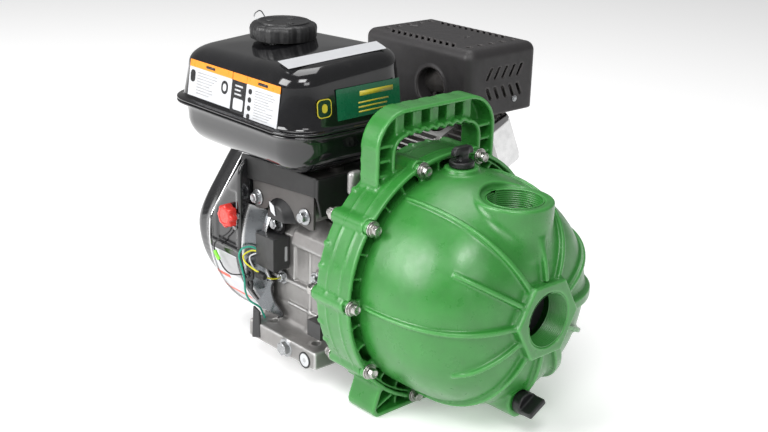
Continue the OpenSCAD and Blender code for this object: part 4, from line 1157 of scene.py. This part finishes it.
def make_recoil():
    """The starter cover: a shallow drum with a rolled shoulder, louvres and a rope eye."""
    y0, y1 = HOUSING_Y1, 312.0
    field = Field([-120, y0, -120], [120, y1 + 1, 106], 1.8)

    def drum(shrink):
        def fn(x, y, z):
            r = np.sqrt(x * x + z * z)
            t = np.clip((y - y0) / 24, 0, 1)
            side = r - (HOUSING_R - 1.0 - 9.0 * t * t * (3 - 2 * t) - shrink)
            chord = CHORD_SIDE * x + CHORD_UP * z - CHORD_AT + 0.26 * (y - y0) + shrink
            return rounded(rounded(side, chord, 12.0), y - (y1 - shrink), 17.0)
        return fn
    outer, inner = drum(0.0), drum(3.0)
    low, high = [-120, y0, -120], [120, y1, 106]
    field.add(bounded(lambda x, y, z: np.maximum(outer(x, y, z), y0 - y), low, high))
    field.add(rod("y", y1 - 6, y1 + 0.3, 46, (0, 0), 2), 4)
    field.cut(rod("y", y1 - 1.5, y1 + 3, 38, (0, 0), 1), 2)
    for i in range(12):
        field.cut(about_y(30 * i, slab([-3, y1 - 14, 64], [3, y1 + 4, 88], 2.6)), 1.5)
    for angle in COVER_BOLTS:
        x, _, z = polar(angle, 108)
        field.add(rod("y", y0, 272, 9, (x, z), 2), 5)
    field.cut(bounded(lambda x, y, z: np.maximum(inner(x, y, z), y0 - 3 - y), low, high))
    field.cut(about_y(25, slab([-6, 279, 84], [6, 291, 130], 3)), 2)
    field.cut(slab([-140, y0 - 4, 103.5], [140, y1 + 4, 140], 1))
    field.add(rod("y", 268, 310, 7, (0, 0), 0.5), 1)
    moulded("starter_cover", field, "shroud_black", stands_for=["recoil_cover"])
    parts = [loft(bolt_rings(polar(angle, 108, 272), (0, 1, 0), 8, 5.5, 6.5, turn=i))
             for i, angle in enumerate(COVER_BOLTS)]
    mesh_object("starter_cover_bolts", *joined(parts), "zinc_steel", sharp=35)


# ---------------------------------------------------------------- crankcase side

SWITCH_Y, SWITCH_Z = 220.0, 33.0


def make_knob():
    x0, x1 = -119.5, -129.5

    def ring(r, x, depth):
        out = []
        for a in circle(96):
            reach = r - depth * (0.5 - 0.5 * math.cos(8 * a)) ** 0.8
            out.append(np.array([x, SWITCH_Y + reach * math.cos(a), SWITCH_Z + reach * math.sin(a)]))
        return out
    profile = ((5.5, -112, 0), (5.5, x0 + 1, 0), (10, x0 + 0.4, 0.6), (13.4, x0, 2.2), (13.9, x0 - 1, 2.4),
               (13.9, x1 + 3, 2.4), (13.0, x1 + 1, 2.0), (11.3, x1, 1.0), (8.5, x1 - 0.3, 0),
               (7.8, x1 + 0.5, 0), (2, x1 + 0.6, 0))
    mesh_object("switch_dial", *loft([ring(*place) for place in profile]), "red_plastic", body="switch_knob",
                stands_for=["engine_switch"], sharp=40)
    studs = [loft(bolt_rings((-118.2, y, z), (-1, 0, 0), 4.5, 3.0, 3.2, n=24))
             for y, z in ((207.5, 34.5), (213, 20))]
    mesh_object("panel_studs", *joined(studs), "zinc_steel", sharp=35)


def make_crankcase_side():
    """The cast wall under the tank: bosses, ledges, a rolled upper edge and a flared foot."""
    outer_x = -84.6
    field = Field([-114, 79, -107], [-60, 205, 50], 1.3)
    field.add(slab([outer_x, 80.5, -98], [-79, 196.5, 20], 1))
    field.add(prism("y", 80.5, 196.5, [(outer_x, 18), (-43, 66.5), (-45, 60), (-79, 14)], 0.5))
    field.add(prism("y", 84, 150, [(-88, 14), (-84, 25), (-68, 42), (-62, 38), (-76, 12)], 2, grow=2.5), 5)
    for y, z in ((88, 45), (88, 8), (105, -13), (88, -36), (88, -70)):
        deep = -92 if z < 30 else -78
        field.add(rod("x", deep, -70, 7.0, (y, z), 1.2), 3)
    field.add(rod("y", 80.5, 92, 7.5, (-86, -13), 1), 3)
    field.add(slab([-88.5, 84, -36], [-80, 200, -32], 1.2), 2)
    field.cut(slab([-92, 128, -31], [-83.6, 162, -28.5], 0.3), 0.8)
    field.add(slab([-87.5, 84, -62], [-80, 160, -59], 1), 2)
    field.add(slab([-86.8, 120, -90], [-80, 124, 16], 1), 3)
    field.add(slab([-86.8, 148, -30], [-80, 151, 18], 1), 3)
    # the flare down to the base rail, with a rounded inner corner
    field.add(prism("y", 80.5, 196, [(-83, -66), (-86, -80), (-94, -87.5), (-80, -90), (-80, -66)], 0.5), 6)
    field.add(slab([-112.7, 79.4, -106.6], [-79, 197.6, -86.4], 1.6), 4)
    for y in (98, 173.5):
        field.add(rod("z", -90, -85.6, 9, (-96, y), 0.6), 1)
        field.cut(rod("z", -110, -80, 4.6, (-96, y), 0.2), 0.8)
    field.add(rod("x", -113.3, -104, 11, (129, -97), 0.8), 1.5)
    field.add(rod("x", -113.0, -104, 10.5, (96, -99.5), 0.8), 1.5)
    # room for the pieces of the frame that pass through this wall
    field.cut(rod("x", -130, -60, 15, (95, -67), 0.3), 1)
    field.cut(rod("x", -130, -60, 5.4, (129, -97), 0.3))
    field.cut(slab([-108.5, 157.5, -19.5], [-84.8, 190.5, 18.5], 0.3))
    field.cut(slab([-72, 79, -100], [-50, 206, 14], 0.3))
    moulded("crankcase_side_casting", field, "cast_aluminium")


def make_valance():
    """Gloss black skirt below the tank, and the half-round boot in the arch of the grey plate."""
    plate_x = -101.0
    side = [(218, 106), (218, 92), (208, 76), (98, 84), (90, 84), (90, 106)]
    front = [(-106, 105), (60, 105), (60, 72), (-38, 72), (-62, 50), (-97, 50), (-106, 84)]
    field = Field([-108, 84, 68], [62, 222, 107], 1.6)
    field.add(prism("x", plate_x - 5.5, plate_x - 1.6, side, 1.0))
    field.add(prism("y", 85.5, 89, front, 0.8), 1.5)
    field.cut(rod("x", -120, -60, 11, (112, 57), 0.3))
    moulded("tank_valance", field, "valance_black")
    boot = Field([-110, 128, 34], [-94, 186, 70], 1.0)

    def cone(x, y, z):
        reach = np.hypot(y - 155, z - 44)
        return rounded(reach - 23 - (x + 98) * 0.9, np.abs(x + 101.5) - 6.5, 1.5)
    boot.add(bounded(cone, [-108, 126, 18], [-95, 184, 72]))
    boot.cut(slab([-120, 120, 0], [-80, 200, 42], 1), 2)
    moulded("arch_boot", boot, "black_moulding")
    label("boot_sticker", [-108.6, 164, 62], [0, -8, -3.5], [0, -3, -11], "label_white", r=0.8, lift=0.6)


def make_side_bolts():
    """Flanged bolts of the plate, the sensor and the rail, and the round mark on the rail."""
    out = (-1, 0, 0)
    parts = [loft(bolt_rings((-101.3, y, 57), out, 10.5, 7.5, 9.0, turn=0.2 * y)) for y in (112, 194)]
    mesh_object("plate_bolts", *joined(parts), "zinc_steel", stands_for=["tank_bolts"], sharp=35)
    parts = [loft(bolt_rings(place, out, across, height, washer, turn=turn))
             for place, across, height, washer, turn in (
                 ((-88.5, 175, 29), 11, 8, 9.0, 0), ((-86.5, 168, -33), 9.5, 6, 8.0, 0),
                 ((-112.6, 129, -97), 13, 8, 10.5, 0.4), ((-91.5, 105, -13), 8.5, 5, 7, 0.9))]
    mesh_object("side_bolts", *joined(parts), "zinc_steel", sharp=35)
    for name, material, profile, n in (
            ("rail_ring", "label_black", [(9.0, 0), (9.4, 0.6), (9.0, 1.2), (7.6, 1.3), (7.2, 0.6)], 32),
            ("rail_disc", "label_white", [(7.4, 0), (7.4, 0.9), (6.9, 1.1), (2.5, 1.1)], 32),
            ("rail_disc_mark", "label_grey", [(2.6, 1.0), (2.4, 1.35), (1, 1.35)], 16)):
        mesh_object(name, *loft(turned(profile, (-113.0, 96, -99.5), out, n)), material, sharp=40)
    label("sensor_label", [-92.5, 157.7, 7], [3.2, 0, 0], [0, 0, -17], "label_grey", r=0.8)


def make_guide():
    """The zinc plate that follows the fan housing down to the rail, with its skirt and flange."""
    rings = []
    first, last = -66, -139
    for a in np.linspace(first, last, 40):
        s, c = sin_cos(a)
        inner = 95 + 4 * math.sin(math.pi * (first - a) / (first - last))
        inner = max(inner, 87.5 / max(-s, 0.2)) if a < -75 else inner
        section = [(inner, 186), (inner + 0.4, 184.6), (inner + 2.0, 184.4), (inner + 2.6, 186.5),
                   (inner + 3.0, 191), (114, 202), (116, 204), (116, 206), (113, 206), (inner + 1.5, 194),
                   (inner, 190)]
        rings.append([np.array([max(r, inner) * s, y, max(r, inner) * c]) for r, y in section])
    mesh_object("housing_guide", *loft(rings), "zinc_plate", stands_for=["fan_side_plate"], sharp=40)
    skirt = [(213, -50), (180, -40.6), (182, -56), (174.6, -66), (161.8, -73.5), (161.8, -78.5), (201, -82),
             (214, -75)]
    field = Field([-95, 158, -86], [-84, 216, -38], 0.9)
    moulded("guide_skirt", field.add(prism("x", -92.5, -90.5, skirt, 0.6)), "zinc_plate")
    flange = [(189, -68), (191.5, -107.5), (176, -103), (178, -72)]
    field = Field([-116, 171, -110], [-106, 194, -66], 0.9)
    moulded("guide_flange", field.add(prism("x", -113.5, -110.5, flange, 0.8)), "black_moulding")


# name, radius, material, sides and path of every wire, in the order they are laid
WIRES = (
    ("wire_earth", 1.15, "green_wire", 8, (
        (-106, 189, -2), (-112, 194, 1), (-120, 199, -1), (-121, 203.5, -10), (-121, 199.5, -21.5),
        (-120, 195.5, -35.5), (-117, 198, -52.5), (-113, 195, -64), (-104, 190, -72), (-99, 190, -81),
        (-98, 187, -86.5))),
    ("wire_sensor_yellow", 1.0, "yellow_wire", 8, (
        (-106, 189, -4), (-112, 194.5, -4), (-119, 198, -9), (-119, 194.5, -16), (-116, 186, -21),
        (-112, 178.5, -25))),
    ("wire_sensor_white", 0.9, "label_white", 8, (
        (-106, 189, -6), (-114, 193, -10), (-114, 189, -19), (-111, 184, -26))),
    ("wire_sensor_dark", 1.0, "rubber", 8, (
        (-106, 189, -8), (-116, 195, -13), (-115, 193, -22), (-112, 192, -30))),
    ("wire_terminal_yellow", 0.9, "yellow_wire", 8, (
        (-112, 176, -27), (-107, 173.5, -30), (-100, 171, -33), (-91, 169.5, -34))),
    ("wire_switch", 0.9, "rubber", 8, (
        (-118.5, 219, 18), (-121, 226, 9), (-124.5, 239, -1), (-125, 246, -10), (-124.5, 245, -17))),
    ("wire_sleeve", 2.1, "lime_sleeve", 12, (
        (-124.5, 245.3, -16), (-124.4, 242, -20.5), (-123.8, 238, -25))),
    ("wire_switch_lower", 0.8, "rubber", 8, (
        (-123.8, 238, -25), (-122.5, 230, -34), (-121, 219.6, -37.3), (-118, 207, -35), (-115, 197, -32))),
    ("case_gasket_edge", 0.9, "rubber", 8, (
        (-85.5, 84, 30), (-88, 85, 20), (-87.5, 85, 2), (-92.5, 92, -6), (-93, 98, -14), (-92, 94, -22),
        (-87.5, 86, -26), (-87, 85, -44), (-87, 85, -80))),
    ("side_drain_hose", 1.2, "rubber", 8, (
        (-93.5, 176, -38), (-94, 180, -50), (-93.6, 175, -63), (-93.4, 166, -69), (-93.4, 160, -75),
        (-93.4, 168, -80))),
    ("cap_tether", 0.7, "zinc_steel", 8, (
        (CAP_X - 8, CAP_Y + 20, 236), (CAP_X - 14, CAP_Y + 34, 243), (CAP_X + 2, CAP_Y + 44, 246),
        (CAP_X + 8, CAP_Y + 41, 232), (CAP_X + 4, CAP_Y + 38, 213))),
)


def make_wiring():
    """Grommets, clip, wires, the case gasket's edge, the drain hose and the fuel cap's tether."""
    parts = []
    for place, r in (((-112, 192, -30), 6.0), ((-111, 195, -43), 5.4)):
        profile = [(r, 0), (r + 1.8, 1.0), (r + 1.8, 3.0), (r, 4.0), (r - 2.2, 3.0), (r - 2.2, 1.0), (r, 0)]
        parts.append(loft(turned(profile, place, (-1, 0.15, 0), 28), caps=(False, False)))
    mesh_object("wire_grommets", *joined(parts), "rubber", sharp=60)
    field = Field([-116, 168, -34], [-104, 186, -21], 0.8)
    field.add(slab([-115, 172, -32], [-107, 184, -24], 2.5))
    field.add(rod("y", 169, 175, 3.4, (-111, -28), 1), 2)
    moulded("wire_clip", field, "rubber")
    for name, r, material, sides, path in WIRES:
        cable(name, path, r, material, sides=sides, stands_for=["wiring"] if name == "wire_earth" else ())


def make_case_lug():
    field = Field([-88, 54, 86], [-62, 70, 120], 1.2)
    moulded("case_lug", field.add(slab([-85, 57, 90], [-68, 67, 116], 5), 1), "cast_aluminium")


def make_rope():
    """The starter rope from its eye to the grip."""
    s, c = sin_cos(25)
    d, eye = np.array([s, 0, c]), np.array([0, 285, 0])
    n, steps, r, near, far = 10, 18, 1.9, 98, 121
    u, v, _ = frame_of(d)
    rings = []
    for k in range(steps + 1):
        along = near + (far - near) * k / steps
        rings.append([d * along + eye + (r + 0.18 * math.cos(3 * (a + along * 0.9)))
                      * (u * math.cos(a) + v * math.sin(a)) for a in circle(n)])
    rope = mesh_object("starter_cord", *loft(rings), "cord", body=None, stands_for=["starter_rope"], sharp=60)
    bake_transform(rope)


make_tank()
make_fuel_cap()
make_tank_labels()
make_guard()
make_housing()
make_housing_labels()
make_recoil()
make_knob()
make_crankcase_side()
make_valance()
make_side_bolts()
make_guide()
make_wiring()
make_case_lug()
make_rope()


# ---------------------------------------------------------------- CAD pieces

NODES_BY_FINISH = {
    "bright_steel": "valve_cover",
    "bracket_steel": "tank_bracket",
    "black_moulding": "cooling_fan recoil_reel starter_grip oil_sensor_box oil_filler_cap fuel_cap choke_lever "
                      "fuel_valve_lever air_cleaner_base air_cleaner_cover air_cleaner_knob",
    "carbon": "seal_rotor",
    "cast_aluminium": "crankcase crankcase_cover cylinder_head",
    "cast_iron": "flywheel",
    "ceramic": "seal_seat spark_plug",
    "cord": "starter_rope",
    "dark_moulding": "volute impeller",
    "foam": "air_filter",
    "forged_steel": "crankshaft camshaft crank_bearings wrist_pin recoil_spring",
    "machined_aluminium": "piston carburetor",
    "muffler_steel": "muffler",
    "rubber": "casing_seal flap_valve crankcase_gasket spark_plug_cap",
    "stainless": "casing_washers casing_nuts seal_spring flap_pin bracket_bolts",
    "strainer": "fuel_strainer",
    "zinc_steel": "valve_cover_bolts starter_cup oil_drain_bolt throttle_lever",
}
CAD_FINISH = {node: name for name, nodes in NODES_BY_FINISH.items() for node in nodes.split()}
SOFT_EDGE = {"air_cleaner_cover": 1.6, "crankcase": 0.9, "crankcase_cover": 1.2, "cylinder_head": 0.5,
             "carburetor": 0.8, "tank_bracket": 0.5, "starter_grip": 2.0}
NO_BEVEL = {"casing_seal", "seal_spring", "air_filter", "cooling_fan", "camshaft"}

for node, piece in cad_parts.items():
    if piece.hide_render:
        continue
    piece.data.materials.clear()
    piece.data.materials.append(MATERIALS[CAD_FINISH[node]])
    weld = piece.modifiers.new("weld", "WELD")
    weld.merge_threshold = 1e-6
    flat = piece.modifiers.new("flat", "DECIMATE")
    flat.decimate_type = "DISSOLVE"
    flat.angle_limit = math.radians(0.5)
    if node not in NO_BEVEL:
        bevel = piece.modifiers.new("bevel", "BEVEL")
        bevel.width = SOFT_EDGE.get(node, 0.35) * MM
        bevel.segments = 2
        bevel.limit_method = "ANGLE"
        bevel.angle_limit = math.radians(32)
        bevel.harden_normals = False
    for polygon in piece.data.polygons:
        polygon.use_smooth = True
    piece.modifiers.new("normals", "WEIGHTED_NORMAL")


# ---------------------------------------------------------------- studio

FLOOR_SIDE = 6.0
LAMPS = (("key", (-1.4, -1.1, 2.2), 1.0, 34), ("front", (-1.3, -2.3, 1.3), 0.9, 12),
         ("top", (0.3, 0.9, 2.4), 1.6, 28), ("sheen", (-1.95, 0.95, 1.15), 1.3, 46))   # place, size in m, watts


def make_studio():
    """A white paper floor, an even pale sky and four soft boxes."""
    mesh = bpy.data.meshes.new("floor")
    corners = [(x * FLOOR_SIDE, y * FLOOR_SIDE, cad_low.z) for x, y in ((-1, -1), (1, -1), (1, 1), (-1, 1))]
    mesh.from_pydata(corners, [], [(0, 1, 2, 3)])
    floor = bpy.data.objects.new("floor", mesh)
    bpy.context.scene.collection.objects.link(floor)
    mat = bpy.data.materials.new("floor_paper")
    mat.use_nodes = True
    paper = mat.node_tree.nodes["Principled BSDF"].inputs
    paper["Base Color"].default_value = (0.88, 0.88, 0.88, 1)
    paper["Roughness"].default_value = 0.9
    paper["Emission Color"].default_value = (1, 1, 1, 1)
    paper["Emission Strength"].default_value = 0.32
    mesh.materials.append(mat)
    world = bpy.data.worlds.new("studio")
    bpy.context.scene.world = world
    world.use_nodes = True
    world.node_tree.nodes["Background"].inputs["Color"].default_value = (1, 1, 1, 1)
    world.node_tree.nodes["Background"].inputs["Strength"].default_value = 0.24
    bpy.context.scene.view_settings.view_transform = "Standard"
    target = (cad_low + cad_high) / 2
    for name, place, size, power in LAMPS:
        lamp = bpy.data.lights.new(name, "AREA")
        lamp.size, lamp.energy = size, power
        light = bpy.data.objects.new(name, lamp)
        light.location = Vector(place)
        light.rotation_mode = "QUATERNION"
        light.rotation_quaternion = (target - light.location).to_track_quat("-Z", "Y")
        bpy.context.scene.collection.objects.link(light)


CAMERA_AT = Vector((-0.8614, -0.8386 + JOINT_Y * MM, 0.4955))
CAMERA_TURN = (-42.55, 19.71, 1.62)      # degrees: from +Y about Z, down, and rolled
CAMERA_LENS, CAMERA_SENSOR = 57.73, 36.0


def make_camera():
    yaw, pitch, roll = (math.radians(a) for a in CAMERA_TURN)
    ahead = Vector((-math.sin(yaw) * math.cos(pitch), math.cos(yaw) * math.cos(pitch), -math.sin(pitch)))
    right = ahead.cross(Vector((0, 0, 1))).normalized()
    up = right.cross(ahead)
    right, up = right * math.cos(roll) + up * math.sin(roll), up * math.cos(roll) - right * math.sin(roll)
    camera = bpy.data.objects.new("camera", bpy.data.cameras.new("camera"))
    camera.data.lens, camera.data.sensor_width = CAMERA_LENS, CAMERA_SENSOR
    camera.matrix_world = Matrix.Translation(CAMERA_AT) @ Matrix((right, up, -ahead)).transposed().to_4x4()
    bpy.context.scene.collection.objects.link(camera)
    bpy.context.scene.camera = camera


make_studio()
make_camera()
